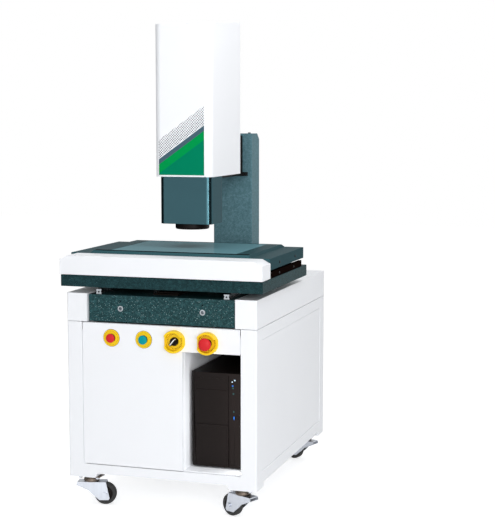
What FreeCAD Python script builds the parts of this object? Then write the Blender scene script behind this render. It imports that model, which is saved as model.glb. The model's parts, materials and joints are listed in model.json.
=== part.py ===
import FreeCAD
import Part
import math
import os

V = FreeCAD.Vector

# Cabinet sizes in millimetres. Depths are measured back from the cabinet's front face.
CAB_W = 700.0
CAB_D = 915.0
PAD_BOTTOM = 110.0
BODY_BOTTOM = 126.0
BODY_TOP = 669.0
RIM_TOP = 770.0
SHEET = 2.5
PANEL_T = 2.0
PANEL_R = 12.0
FOLD = 18.0
CORNER_R = 6.0
STILE = 57.0
SILL_TOP = 159.5
PANEL_GAP = 2.5
SEAM = 1.5
RIM_W = 77.0
DECK_TOP = 642.0
DECK_T = 6.0
DECK_FRONT = 40.0
BEAM_H = 30.0
BEAM_FRONT = 150.0
BEAM_BACK = 190.0
POST = 40.0
POST_T = 3.0
JAMB_IN = 8.0
JAMB_SETBACK = 3.5
RETURN_D = 26.0
TAB_X = 200.0
TAB_W = 50.0
PAD_X = 100.0
PAD_Y = 82.0
PAD_SLOPE = 8.0
SIDE_EDGE = 62.0
SIDE_BOTTOM = 168.0
SIDE_TOP = 628.0
LAP = 7.0
BORDER = 25.0
VENT_X = 150.0
VENT_W = 120.0
VENT_H = 5.0
VENT_LOW = 230.0
VENT_PITCH = 16.0
VENT_ROWS = 8

# Computer bay in the front
BAY_LEFT = 82.0
BAY_RIGHT = 292.0
BAY_BOTTOM = 165.0
BAY_TOP = 580.0
BAY_DEPTH = 470.0
LINER_T = 1.5
CRADLE_W = 30.0
CRADLE_D = (60.0, 380.0)
PC_W = 186.0
PC_D = 400.0
PC_H = 333.0
PC_T = 1.5
PC_SETBACK = 58.0
PC_BEZEL = 22.0
PC_FOOT = 6.0
PC_FOOT_X = 65.0
PC_FOOT_R = 11.0
PC_STRIP_X = 43.5
PC_STRIP_W = 21.0
PC_BUTTON_X = 74.0
PC_BUTTON_Z = 180.0
PC_BUTTON_R = 7.0
PC_VENT_LOW = 90.0
PC_CORNER = 9.0
PC_INSET_TOP = 142.0
PC_STEP_Z = 150.0

# Granite base and column
BASE_W = 540.0
BASE_SETBACK = 12.0
BASE_BACK = 905.0
BASE_BOTTOM = 672.0
BASE_TOP = 766.0
INSERT_X = 151.5
INSERT_Z = 719.0
INSERT_R = 10.0
INSERT_L = 30.0
INSERT_BORE = 6.0
PIN_R = 3.0
ISOLATOR_X = 200.0
ISOLATOR_IN = 90.0
ISOLATOR_R = 38.0
COL_W = 160.0
COL_FRONT = 800.0
COL_TOP = 1318.0
COL_BREAK = 3.0
COL_SLOPE_D = 30.0
COL_SLOPE_H = 26.0

# Guides and flat motors
RAIL_W = 20.0
RAIL_H = 18.0
RAIL_FOOT = 6.0
RAIL_WAIST = 2.2
RAIL_WAIST_LOW = 8.5
RAIL_WAIST_HIGH = 11.0
RAIL_HEAD = 13.5
BLOCK_W = 46.0
BLOCK_LIFT = 4.5
BLOCK_GAP = 0.4
Y_STACK = 26.5
Y_RAIL_X = 236.0
Y_RAIL_IN = 8.0
Y_RAIL_END = 30.0
Y_BLOCK_L = 72.0
Y_BLOCK_D = (190.0, 345.0)
X_STACK = 30.0
X_RAIL_D = (150.0, 452.0)
X_RAIL_IN = 18.0
X_BLOCK_L = 70.0
X_BLOCK_X = (-145.0, 75.0)
MAGNET_T = 5.5
POLE_T = 4.0
POLE_L = 33.0
POLE_PITCH = 36.0
MAGNET_EDGE = 4.5
MAGNET_GAP = 1.2
Y_MAGNET_W = 90.0
Y_MAGNET_IN = 60.0
Y_COIL_D = (170.0, 400.0)
X_MAGNET_W = 78.0
X_MAGNET_D = 301.0
X_COIL_L = 230.0
COIL_IN = 6.5

# Measuring table
TABLE_W = 742.0
SLAB_FRONT = -2.0
SLAB_BACK = 562.0
SLAB_T = 40.5
PLATE_FRONT = 85.5
PLATE_BACK = 515.0
PLATE_T = 40.0
END_T = 12.0
END_IN = 3.0
END_H = 23.0
END_D = (92.0, 500.0)
SIDE_SCREW_D = (200.0, 400.0)
SIDE_SCREW_Z = 18.0
SIDE_SCREW_R = 3.0
FRAME_IN = 2.5
GLASS_FRAME_W = 598.0
GLASS_FRAME_H = 9.0
GLASS_W = 474.0
GLASS_D = 370.0
GLASS_T = 7.0
GLASS_BACK = 8.0
GLASS_REST = 12.0
GLASS_GAP = 0.4
LIGHT_T = 10.0
LIGHT_FLOOR = 12.0
APRON_FRONT = -9.0
APRON_T = 2.5
APRON_CUT_X = 28.0
APRON_CUT_Z = 15.0
RIB_IN = 71.0
RIB_T = 4.0

# Measuring head
HEAD_W = 217.0
HEAD_FRONT = 234.0
HEAD_BACK = 570.0
HEAD_BOTTOM = 1170.0
HEAD_TOP = 1711.0
HEAD_RISE = 24.0
HEAD_R = 26.0
HEAD_BACK_R = 5.0
HEAD_T = 2.0
CAM_W = 197.0
CAM_FRONT = 257.0
CAM_BACK = 385.0
CAM_BOTTOM = 999.0
CAM_TOP = 1390.0
CAM_R = 20.0
CAM_T = 4.0
LENS_Y = 333.0
LENS_R = 27.0
LENS_BORE = 20.0
LENS_TOP = 1240.0
LENS_STEP_Z = 1130.0
LENS_TAPER = 4.0
SENSOR_W = 50.0
SENSOR_H = 60.0
RING_R = 62.0
RING_H = 21.0
RING_BORE = 28.0
LED_RING = 44.0
LED_R = 2.6
LED_COUNT = 24

# Arm that carries the head on the column
ARM_PLATE_W = 156.0
ARM_PLATE_T = 24.0
ARM_PLATE_D = 532.0
ARM_PLATE_TOP = 1651.0
ARM_WEB = 52.0
ARM_BOTTOM = 1151.0
ARM_TOP = 1290.0
ARM_FOOT_W = 128.0
ARM_FOOT_H = 15.0
ARM_FLANGE_W = 84.0
ARM_FLANGE_T = 16.0
ARM_FLANGE_TOP = 1310.0
ARM_BOLT_X = 33.0
ARM_BOLT_Z = 1300.0
FOOT_BOLT_X = 56.0
LIFT_SCREW_X = 58.0
LIFT_SCREW_IN = 38.0
LIFT_SCREW_H = 4.0
SCREW_HEAD_R = 5.5
SCREW_HEAD_H = 6.0
SCREW_SHANK_R = 3.5
SCREW_SHANK_L = 30.0

# Vertical drive inside the head
Z_STACK = 28.0
Z_RAIL_X = 52.0
Z_RAIL_LOW = 1202.0
Z_RAIL_L = 400.0
Z_BLOCK_L = 62.0
Z_BLOCK_Z = (1252.0, 1342.0)
SCREW_R = 8.0
SCREW_OUT = 15.0
SCREW_LOW = 1200.0
SCREW_L = 424.0
COUPLING_R = 13.0
COUPLING_L = 22.0
SUPPORT_W = 50.0
SUPPORT_H = 16.0
SUPPORT_OUT = 26.0
SUPPORT_Z = (1204.0, 1580.0)
MOTOR_W = 60.0
MOTOR_D = 45.0
MOTOR_H = 72.6
CARRIAGE_W = 150.0
CARRIAGE_T = 16.0
CARRIAGE_Z = (1240.0, 1410.0)
NECK_W = 120.0
NECK_T = 12.0
NECK_Z = (1250.0, 1380.0)
NUT_W = 44.0
NUT_Z = (1312.0, 1352.0)
NUT_GAP = 3.0

# Operator controls on the front panel
CONTROL_Z = 617.0
CONTROL_X = (-181.0, -60.0, 55.0, 175.0)
HOLE_R = 11.3
LEGEND_R = 30.0
LEGEND_T = 1.5
GUARD_R = 39.0
GUARD_H = 24.0
GUARD_WALL = 8.0
GUARD_FLOOR = 2.0
GUARD_FLAT_BACK = 38.0
GUARD_FLAT_FRONT = 31.0
NOTCH_HALF = 16.0
NOTCH_FLOOR = 9.0
COLLAR_R = 15.0
COLLAR_H = 3.5
CAP_R = 16.0
CAP_H = 7.0
CAP_TRAVEL = 4.0
SWITCH_BORE = 9.0
SWITCH_BACK = 14.0
SWITCH_BLOCK_W = 30.0
SWITCH_BLOCK_D = 48.0
SWITCH_BLOCK_LOW = 18.0
SWITCH_BLOCK_HIGH = 16.0
STOP_R = 22.0
STOP_OUT = 44.0

# Casters
CASTER_X = 286.0
CASTER_Y = 50.0
SWING_FL = 14.0
SWING_FR = 26.0
SWING_REAR = 18.0
PLATE_X = 44.0
PLATE_Y = 32.0
CASTER_PLATE_T = 5.0
BOLT_X = 33.0
BOLT_Y = 23.0
BOLT_R = 4.2
BOLT_HEAD = 7.5
BOLT_HEAD_H = 6.0
WHEEL_R = 40.0
WHEEL_W = 28.0
TYRE_T = 13.0
TRAIL = 50.0
AXLE_R = 5.0
FORK_T = 3.0
FORK_GAP = 3.0
FORK_TOP = 4.0
RACE_R = 28.0
PIN_HALF = 6.0

SLAB_BOTTOM = BASE_TOP + Y_STACK
SLAB_TOP = SLAB_BOTTOM + SLAB_T
PLATE_BOTTOM = SLAB_TOP + X_STACK
PLATE_TOP = PLATE_BOTTOM + PLATE_T
FRAME_TOP = PLATE_TOP + GLASS_FRAME_H
FRONT = -(CAB_D - STOP_OUT) / 2.0
HALF = CAB_W / 2.0


# Basic shapes
def box(x0, x1, d0, d1, z0, z1):
    return Part.makeBox(x1 - x0, d1 - d0, z1 - z0, V(x0, FRONT + d0, z0))


def mid_box(width, d0, d1, z0, z1):
    return box(-width / 2.0, width / 2.0, d0, d1, z0, z1)


def rod(x, d, z, axis, radius, length):
    return Part.makeCylinder(radius, length, V(x, FRONT + d, z), axis)


def fuse(shapes):
    result = shapes[0]
    for shape in shapes[1:]:
        result = result.fuse(shape)
    return result.removeSplitter()


def cut(shape, tools):
    for tool in tools:
        shape = shape.cut(tool)
    return shape


def prism(points, origin, across, up, along):
    corners = [origin + across * p[0] + up * p[1] for p in points]
    wire = Part.makePolygon(corners + [corners[0]])
    return Part.Face(wire).extrude(along)


def lathe(points, origin, axis):
    side = V(1, 0, 0) if abs(axis.x) < 0.5 else V(0, 1, 0)
    corners = [origin + side * p[0] + axis * p[1] for p in points]
    wire = Part.makePolygon(corners + [corners[0]])
    return Part.Face(wire).revolve(origin, axis, 360)


def upright_edges(shape, x_test, d_test):
    chosen = []
    for edge in shape.Edges:
        if len(edge.Vertexes) != 2:
            continue
        a = edge.Vertexes[0].Point
        b = edge.Vertexes[1].Point
        upright = abs(a.x - b.x) < 0.01 and abs(a.y - b.y) < 0.01
        if upright and x_test(a.x) and d_test(a.y - FRONT):
            chosen.append(edge)
    return chosen


def rounded_box(x0, x1, d0, d1, z0, z1, front_r, back_r):
    shape = box(x0, x1, d0, d1, z0, z1)
    middle = (d0 + d1) / 2.0
    if front_r > 0:
        shape = shape.makeFillet(front_r, upright_edges(shape, lambda x: True, lambda d: d < middle))
    if back_r > 0:
        shape = shape.makeFillet(back_r, upright_edges(shape, lambda x: True, lambda d: d > middle))
    return shape


def column_screw_places():
    places = [(sx * LIFT_SCREW_X, COL_FRONT + LIFT_SCREW_IN, COL_TOP, V(0, 0, 1),
        LIFT_SCREW_H) for sx in (-1, 1)]
    face = COL_FRONT - ARM_FLANGE_T
    for sx in (-1, 1):
        places.append((sx * ARM_BOLT_X, face, ARM_BOLT_Z, V(0, -1, 0), SCREW_HEAD_H))
        places.append((sx * FOOT_BOLT_X, face, ARM_BOTTOM + ARM_FOOT_H / 2, V(0, -1, 0), SCREW_HEAD_H))
    return places


def drill_column_screws(shape):
    for x, d, z, axis, head in column_screw_places():
        hole = Part.makeCylinder(SCREW_SHANK_R, SCREW_SHANK_L + 10, V(x, FRONT + d, z) + axis, axis * -1)
        shape = shape.cut(hole)
    return shape


def socket_screw(x, d, z, axis, head_r, head_h, shank_r, shank_l):
    origin = V(x, FRONT + d, z)
    head = Part.makeCylinder(head_r, head_h, origin, axis)
    shank = Part.makeCylinder(shank_r, shank_l, origin, axis * -1)
    socket = Part.makeCylinder(head_r * 0.5, head_h * 0.6, origin + axis * (head_h * 0.4), axis)
    return head.fuse(shank).cut(socket)


def save(name, shapes):
    if not isinstance(shapes, list):
        shapes = [shapes]
    solids = []
    for shape in shapes:
        solids.extend(shape.Solids)
    whole = solids[0] if len(solids) == 1 else Part.makeCompound(solids)
    whole.exportStep(os.path.join("parts", name + ".step"))


# Cabinet
def cabinet_frame():
    body = rounded_box(-HALF, HALF, 0, CAB_D, BODY_BOTTOM, BODY_TOP, CORNER_R, CORNER_R)
    inside = box(-HALF + SHEET, HALF - SHEET, SHEET, CAB_D - SHEET, BODY_BOTTOM + SHEET, BODY_TOP + 1)
    opening = HALF - STILE
    doorway = box(-opening, opening, -1, SHEET + 1, SILL_TOP, BODY_TOP + 1)
    side = box(-HALF - 1, HALF + 1, SIDE_EDGE, CAB_D - SIDE_EDGE, SIDE_BOTTOM, SIDE_TOP)
    rear = box(-opening, opening, CAB_D - SHEET - 1, CAB_D + 1, SIDE_BOTTOM, SIDE_TOP)
    frame = cut(body, [inside, doorway, side, rear])
    deck_low = DECK_TOP - DECK_T
    extra = [box(-HALF + 1, HALF - 1, DECK_FRONT, CAB_D - 1, deck_low, DECK_TOP)]
    for sx in (-1, 1):
        for near, far in ((SHEET, SHEET + POST), (CAB_D - SHEET - POST, CAB_D - SHEET)):
            x0, x1 = sorted((sx * (HALF - SHEET - POST), sx * (HALF - SHEET)))
            tube = box(x0, x1, near, far, BODY_BOTTOM + 1, DECK_TOP - 1)
            bore = box(x0 + POST_T, x1 - POST_T, near + POST_T, far - POST_T, BODY_BOTTOM + SHEET + 0.5,
                deck_low - 1)
            extra.append(tube.cut(bore))
    beam_w = CAB_W - 2 * (SHEET + PANEL_T + 2.0)
    for depth in (BEAM_FRONT, CAB_D - BEAM_BACK):
        extra.append(mid_box(beam_w, depth, depth + POST, deck_low - BEAM_H, DECK_TOP - 1))
    extra.append(mid_box(2 * opening + 2, 1, RETURN_D, SILL_TOP - PANEL_T, SILL_TOP))
    for sx in (-1, 1):
        x0, x1 = sorted((sx * opening, sx * (opening + PANEL_T)))
        extra.append(box(x0, x1, 1, RETURN_D, SILL_TOP - 1, DECK_TOP - 1))
        x0, x1 = sorted((sx * (opening - JAMB_IN), sx * (opening + 1)))
        low = SILL_TOP - 1 if sx < 0 else BAY_TOP + 4
        extra.append(box(x0, x1, JAMB_SETBACK, JAMB_SETBACK + PANEL_T, low, DECK_TOP - 1))
        for near in (True, False):
            extra.append(corner_pad(sx, near))
    frame = fuse([frame] + extra)
    for x, d in caster_bolt_places():
        frame = frame.cut(rod(x, d, PAD_BOTTOM - 1, V(0, 0, 1), BOLT_R, 12))
    return frame


def corner_pad(sx, near):
    outline = [(HALF, PAD_BOTTOM), (HALF, BODY_BOTTOM + 1), (HALF - PAD_X - PAD_SLOPE, BODY_BOTTOM + 1)]
    outline += [(HALF - PAD_X - PAD_SLOPE, BODY_BOTTOM), (HALF - PAD_X, PAD_BOTTOM)]
    start = 0.0 if near else CAB_D - PAD_Y
    pad = prism(outline, V(0, FRONT + start, 0), V(sx, 0, 0), V(0, 0, 1), V(0, PAD_Y, 0))
    outer = upright_edges(pad, lambda x: abs(x) > HALF - 1, lambda d: d < 1 or d > CAB_D - 1)
    return pad.makeFillet(CORNER_R, outer)


def front_panel():
    left = -(HALF - STILE - PANEL_GAP)
    right = -left
    low = SILL_TOP + PANEL_GAP
    high = BODY_TOP - SEAM
    split = BAY_LEFT - 1.0
    fold = left + JAMB_IN + 4.0
    sheet = box(left, right, 0, PANEL_T, low, high)
    sheet = sheet.makeFillet(PANEL_R, upright_like(sheet, left, low))
    folds = [box(fold, split, PANEL_T - 0.5, PANEL_T + 1.5, low + PANEL_R + 2,
        low + PANEL_R + 2 + PANEL_T)]
    folds.append(box(fold, fold + PANEL_T, 1, FOLD, low + 20, high - 4))
    folds.append(box(split - PANEL_T, split, 1, FOLD, low, BAY_TOP + 1))
    folds.append(box(-fold - PANEL_T, -fold, 1, FOLD, BAY_TOP + 6, high - 4))
    folds.append(box(left + 2, right - 2, 1, FOLD, high - PANEL_T, high))
    for sx in (-1, 1):
        x0, x1 = sorted((sx * TAB_X, sx * (TAB_X + TAB_W)))
        folds.append(box(x0, x1, 1, DECK_FRONT + 20, DECK_TOP, DECK_TOP + PANEL_T))
    panel = fuse([sheet] + folds)
    notch = box(split, right + 1, -1, 30, low - 1, BAY_TOP + 1)
    panel = panel.cut(notch)
    for x in CONTROL_X:
        panel = panel.cut(rod(x, -1, CONTROL_Z, V(0, 1, 0), HOLE_R, 5))
    return panel


def upright_like(sheet, x, z):
    chosen = []
    for edge in sheet.Edges:
        a = edge.Vertexes[0].Point
        b = edge.Vertexes[-1].Point
        level = abs(a.x - b.x) < 0.01 and abs(a.z - b.z) < 0.01
        if level and abs(a.x - x) < 0.01 and abs(a.z - z) < 0.01:
            chosen.append(edge)
    return chosen


def side_panels():
    gap = PANEL_GAP
    panels = []
    for sx in (-1, 1):
        x0, x1 = sorted((sx * (HALF - 1), sx * (HALF - 1 - PANEL_T)))
        d0, d1 = SIDE_EDGE + gap, CAB_D - SIDE_EDGE - gap
        sheet = box(x0, x1, d0, d1, SIDE_BOTTOM + gap, SIDE_TOP - gap)
        inner0, inner1 = sorted((sx * (HALF - SHEET), sx * (HALF - SHEET - PANEL_T)))
        backing = box(inner0, inner1, SIDE_EDGE - LAP, CAB_D - SIDE_EDGE + LAP, SIDE_BOTTOM - LAP,
            SIDE_TOP + LAP)
        window = box(inner0 - 1, inner1 + 1, d0 + BORDER, d1 - BORDER, SIDE_BOTTOM + BORDER,
            SIDE_TOP - BORDER)
        panels.append(fuse([sheet, backing.cut(window)]))
    return panels


def back_panel():
    opening = HALF - STILE
    sheet = mid_box(2 * (opening - PANEL_GAP), CAB_D - 1.5 - PANEL_T, CAB_D - 1.5, SIDE_BOTTOM + PANEL_GAP,
        SIDE_TOP - PANEL_GAP)
    lip = mid_box(2 * (opening + LAP), CAB_D - SHEET - 2.5, CAB_D - SHEET, SIDE_BOTTOM - LAP,
        SIDE_TOP + LAP)
    hole = mid_box(2 * (opening - BORDER), CAB_D - 8, CAB_D + 1, SIDE_BOTTOM + BORDER, SIDE_TOP - BORDER)
    panel = fuse([sheet, lip.cut(hole)])
    for bank in (-1, 1):
        for row in range(VENT_ROWS):
            z = VENT_LOW + row * VENT_PITCH
            x = bank * VENT_X
            panel = panel.cut(box(x - VENT_W / 2, x + VENT_W / 2, CAB_D - 8, CAB_D + 1, z, z + VENT_H))
    return panel


def rim_side(sx):
    x0, x1 = sorted((sx * (HALF - RIM_W), sx * HALF))
    shell = box(x0, x1, 0, CAB_D, BODY_TOP + SEAM, RIM_TOP)
    outer = upright_edges(shell, lambda x: abs(x) > HALF - 1, lambda d: True)
    shell = shell.makeFillet(CORNER_R, outer)
    hollow = box(x0 + 2, x1 - 2, 2, CAB_D - 2, BODY_TOP - 1, RIM_TOP - 2)
    feet = []
    for d in (PAD_Y - 22, CAB_D - PAD_Y):
        f0, f1 = sorted((sx * (HALF - RIM_W + 2), sx * (HALF - SHEET - 0.5)))
        feet.append(box(f0, f1, d, d + 20, DECK_TOP, BODY_TOP + 7))
        f0, f1 = sorted((sx * (HALF - 20), sx * (HALF - 1.5)))
        feet.append(box(f0, f1, d, d + 20, BODY_TOP + SEAM + 2, BODY_TOP + SEAM + 12))
    body = shell.cut(hollow)
    for foot in feet:
        body = body.fuse(foot)
    return body.removeSplitter()


def rim_back():
    inner = HALF - RIM_W - 1.0
    wall = mid_box(2 * inner, CAB_D - 2, CAB_D, BODY_TOP + SEAM, RIM_TOP)
    top = mid_box(2 * inner, BASE_BACK + 2, CAB_D - 1, RIM_TOP - 2, RIM_TOP)
    tab = mid_box(120, CAB_D - 6, CAB_D - 3, DECK_TOP, BODY_TOP + 20)
    bridge = mid_box(120, CAB_D - 6, CAB_D - 1, BODY_TOP + SEAM, BODY_TOP + 20)
    return fuse([wall, top, tab, bridge])


def bay_liner():
    back = BAY_DEPTH
    t = LINER_T
    left = BAY_LEFT + 1
    outer = box(left, BAY_RIGHT, FOLD + 1, back, BAY_BOTTOM - t, BAY_TOP + t)
    inner = box(left + t, BAY_RIGHT - t, 0, back - t, BAY_BOTTOM, BAY_TOP)
    shell = outer.cut(inner)
    floor = box(left, BAY_RIGHT, 3, FOLD + 2, BAY_BOTTOM - t, BAY_BOTTOM)
    lip = box(left, BAY_RIGHT, 3, 3 + t, SILL_TOP + 1, BAY_BOTTOM)
    wall = box(BAY_LEFT, BAY_LEFT + t, 3, FOLD + 2, BAY_BOTTOM - t, BAY_TOP)
    joint = box(BAY_LEFT, left + t, FOLD, FOLD + 2, BAY_BOTTOM - t, BAY_TOP)
    cradle = []
    for d in CRADLE_D:
        cradle.append(box(BAY_LEFT + 6, BAY_RIGHT - 6, d, d + CRADLE_W, BODY_BOTTOM + SHEET,
            BAY_BOTTOM - t))
    return fuse([shell, floor, lip, wall, joint] + cradle)


# Computer in the bay
def pc_centre():
    return (BAY_LEFT + BAY_RIGHT) / 2.0


def computer_case():
    x = pc_centre()
    low = BAY_BOTTOM + PC_FOOT
    near = PC_SETBACK + PC_BEZEL
    far = PC_SETBACK + PC_D
    t = PC_T
    outer = box(x - PC_W / 2, x + PC_W / 2, near, far, low, low + PC_H)
    inner = box(x - PC_W / 2 + t, x + PC_W / 2 - t, near + t, far - t, low + t, low + PC_H - t)
    case = outer.cut(inner)
    for row in range(VENT_ROWS):
        z = low + PC_VENT_LOW + row * VENT_PITCH / 2
        case = case.cut(box(x - VENT_W / 2 + 8, x + VENT_W / 2 - 8, far - 4, far + 1, z, z + VENT_H - 1))
    feet = []
    for fx in (x - PC_FOOT_X, x + PC_FOOT_X):
        for d in (near + 30, far - 40):
            feet.append(rod(fx, d, BAY_BOTTOM, V(0, 0, 1), PC_FOOT_R, PC_FOOT + 1))
    return fuse([case] + feet)


def computer_front():
    x = pc_centre()
    half = PC_W / 2
    low = BAY_BOTTOM + PC_FOOT
    high = low + PC_H
    c = PC_CORNER
    outline = [(-half, PC_BEZEL), (-half, c - 2), (-half + c, 0), (half - c, 0), (half, c - 2),
        (half, PC_BEZEL)]
    bezel = prism(outline, V(x, FRONT + PC_SETBACK, low), V(1, 0, 0), V(0, 1, 0), V(0, 0, PC_H))
    near = PC_SETBACK - 1
    edge = x + PC_STRIP_X
    groove = box(edge - 2.5, edge, near, near + 4, low, high - 8)
    recess = box(edge, edge + PC_STRIP_W, near, near + 3.5, low + 8, low + PC_INSET_TOP - 10)
    step = box(x - half + 10, edge - 2.5, near, near + 3, low + PC_STEP_Z, low + PC_STEP_Z + 3)
    lower = box(x - half + 16, edge - 7, near, near + 2.5, low + 8, low + PC_INSET_TOP)
    drive = box(x - half + 16, edge - 7, near, near + 2.5, high - 60, high - 20)
    bezel = cut(bezel, [groove, recess, step, lower, drive])
    seat = rod(x + PC_BUTTON_X, near, low + PC_BUTTON_Z, V(0, 1, 0), PC_BUTTON_R + 0.5, 9)
    return bezel.cut(seat)


def computer_button():
    x = pc_centre() + PC_BUTTON_X
    z = BAY_BOTTOM + PC_FOOT + PC_BUTTON_Z
    r = PC_BUTTON_R
    points = [(0, 0), (r - 1.5, 0), (r, 1.2), (r, 5.5), (0, 5.5)]
    return lathe(points, V(x, FRONT + PC_SETBACK - 0.5, z), V(0, 1, 0))


# Controls
def legend_discs():
    discs = []
    t = LEGEND_T
    for x in CONTROL_X[:2]:
        points = [(HOLE_R, -t), (LEGEND_R - 0.8, -t), (LEGEND_R, 0.8 - t), (LEGEND_R, 0), (HOLE_R, 0)]
        discs.append(lathe(points, V(x, FRONT, CONTROL_Z), V(0, 1, 0)))
    return discs


def switch_guard(x):
    inner = GUARD_R - GUARD_WALL
    h = GUARD_H
    points = [(HOLE_R, 0), (GUARD_R, 0), (GUARD_R, 3.0 - h), (GUARD_R - 0.9, 0.9 - h), (GUARD_R - 3.0, -h)]
    points += [(inner + 2.0, -h), (inner + 0.5, 0.6 - h), (inner, 2.0 - h), (inner, -GUARD_FLOOR),
        (HOLE_R, -GUARD_FLOOR)]
    guard = lathe(points, V(x, FRONT, CONTROL_Z), V(0, 1, 0))
    for sx in (-1, 1):
        flat = [(GUARD_FLAT_BACK, 1), (GUARD_FLAT_BACK, 0), (GUARD_FLAT_FRONT, -h),
            (GUARD_FLAT_FRONT, -h - 1)]
        flat += [(GUARD_R + 5, -h - 1), (GUARD_R + 5, 1)]
        start = V(x, FRONT, CONTROL_Z - 2 * GUARD_R)
        guard = guard.cut(prism(flat, start, V(sx, 0, 0), V(0, 1, 0), V(0, 0, 4 * GUARD_R)))
        x0, x1 = sorted((x + sx * (GUARD_R - 21), x + sx * (GUARD_R + 20)))
        notch = box(x0, x1, -h - 1, -NOTCH_FLOOR, CONTROL_Z - NOTCH_HALF, CONTROL_Z + NOTCH_HALF)
        guard = guard.cut(notch)
    return guard


def switch_body(x, lift):
    stem = HOLE_R - 0.3
    bore = SWITCH_BORE
    end = SWITCH_BACK
    front = -lift - COLLAR_H
    r = COLLAR_R
    points = [(bore, front), (r - 1.5, front), (r, front + 1.5), (r, -lift), (stem, -lift)]
    points += [(stem, PANEL_T), (r, PANEL_T), (r, PANEL_T + 7), (stem, PANEL_T + 7), (stem, end),
        (bore, end)]
    collar = lathe(points, V(x, FRONT, CONTROL_Z), V(0, 1, 0))
    half = SWITCH_BLOCK_W / 2
    block = box(x - half, x + half, end - 1, SWITCH_BLOCK_D, CONTROL_Z - SWITCH_BLOCK_LOW,
        CONTROL_Z + SWITCH_BLOCK_HIGH)
    return collar.fuse(block)


def button_cap(x):
    seat = -LEGEND_T - COLLAR_H - CAP_TRAVEL - 0.8
    points = [(0, seat - CAP_H), (CAP_R / 2, seat - CAP_H + 0.3), (CAP_R - 2.5, seat - CAP_H + 1.6)]
    points += [(CAP_R, seat - CAP_H + 4.6), (CAP_R, seat), (8.6, seat), (8.6, 6.0), (0, 6.0)]
    return lathe(points, V(x, FRONT, CONTROL_Z), V(0, 1, 0))


def selector_knob():
    x = CONTROL_X[2]
    points = [(0, -16.0), (12.5, -16.0), (13.6, -14.5), (14.5, -6.2), (8.6, -6.2), (8.6, 6.0), (0, 6.0)]
    knob = lathe(points, V(x, FRONT, CONTROL_Z), V(0, 1, 0))
    grip = box(x - 4.5, x + 4.5, -30, -15, CONTROL_Z - 13, CONTROL_Z + 13)
    ends = rod(x, -31, CONTROL_Z, V(0, 1, 0), 13.6, 20)
    grip = grip.common(ends)
    grip.rotate(V(x, FRONT, CONTROL_Z), V(0, 1, 0), 40)
    return knob.fuse(grip)


def emergency_stop():
    x = CONTROL_X[3]
    r = STOP_R
    base = -GUARD_FLOOR - COLLAR_H - 6.0
    tip = -STOP_OUT
    points = [(0, tip), (r / 2, tip + 0.6), (r - 4.5, tip + 2.8), (r, tip + 7.5), (r, tip + 15.5)]
    points += [(r - 5.0, tip + 20.5), (13.0, base), (8.6, base), (8.6, 6.0), (0, 6.0)]
    return lathe(points, V(x, FRONT, CONTROL_Z), V(0, 1, 0))


# Casters
def caster_places():
    places = []
    for name, sx, d, swing in (("fl", -1, CASTER_Y, SWING_FL), ("fr", 1, CASTER_Y, SWING_FR),
            ("rl", -1, CAB_D - CASTER_Y, SWING_REAR), ("rr", 1, CAB_D - CASTER_Y, SWING_REAR)):
        turn = math.radians(swing)
        places.append((name, sx * CASTER_X, d, V(-sx * math.cos(turn), math.sin(turn), 0)))
    return places


def caster_bolt_places():
    places = []
    for name, x, d, trail in caster_places():
        for bx in (-BOLT_X, BOLT_X):
            for by in (-BOLT_Y, BOLT_Y):
                places.append((x + bx, d + by))
    return places


def caster_plate(x, d):
    t = CASTER_PLATE_T
    plate = box(x - PLATE_X, x + PLATE_X, d - PLATE_Y, d + PLATE_Y, PAD_BOTTOM - t, PAD_BOTTOM)
    for bx in (-BOLT_X, BOLT_X):
        for by in (-BOLT_Y, BOLT_Y):
            plate = plate.cut(rod(x + bx, d + by, PAD_BOTTOM - t - 1, V(0, 0, 1), BOLT_R, t + 3))
    low = 2 * WHEEL_R + FORK_TOP + 0.4
    r = RACE_R
    points = [(0, low), (r - 3, low), (r, low + 4), (r, low + 9), (r - 6, PAD_BOTTOM - t + 0.5)]
    race = lathe(points + [(0, PAD_BOTTOM - t + 0.5)], V(x, FRONT + d, 0), V(0, 0, 1))
    pin = rod(x, d, low - 12, V(0, 0, 1), PIN_HALF, 14)
    nut = rod(x, d, low - 14, V(0, 0, 1), PIN_HALF + 3, 5)
    return fuse([plate, race, pin, nut])


def caster_bolt(x, d):
    seat = PAD_BOTTOM - CASTER_PLATE_T
    shank = rod(x, d, seat, V(0, 0, 1), BOLT_R - 0.05, 14)
    corners = []
    for k in range(7):
        a = math.radians(60 * k)
        corners.append(V(x + BOLT_HEAD * math.cos(a), FRONT + d + BOLT_HEAD * math.sin(a),
            seat - BOLT_HEAD_H))
    return Part.Face(Part.makePolygon(corners)).extrude(V(0, 0, BOLT_HEAD_H)).fuse(shank)


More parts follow.
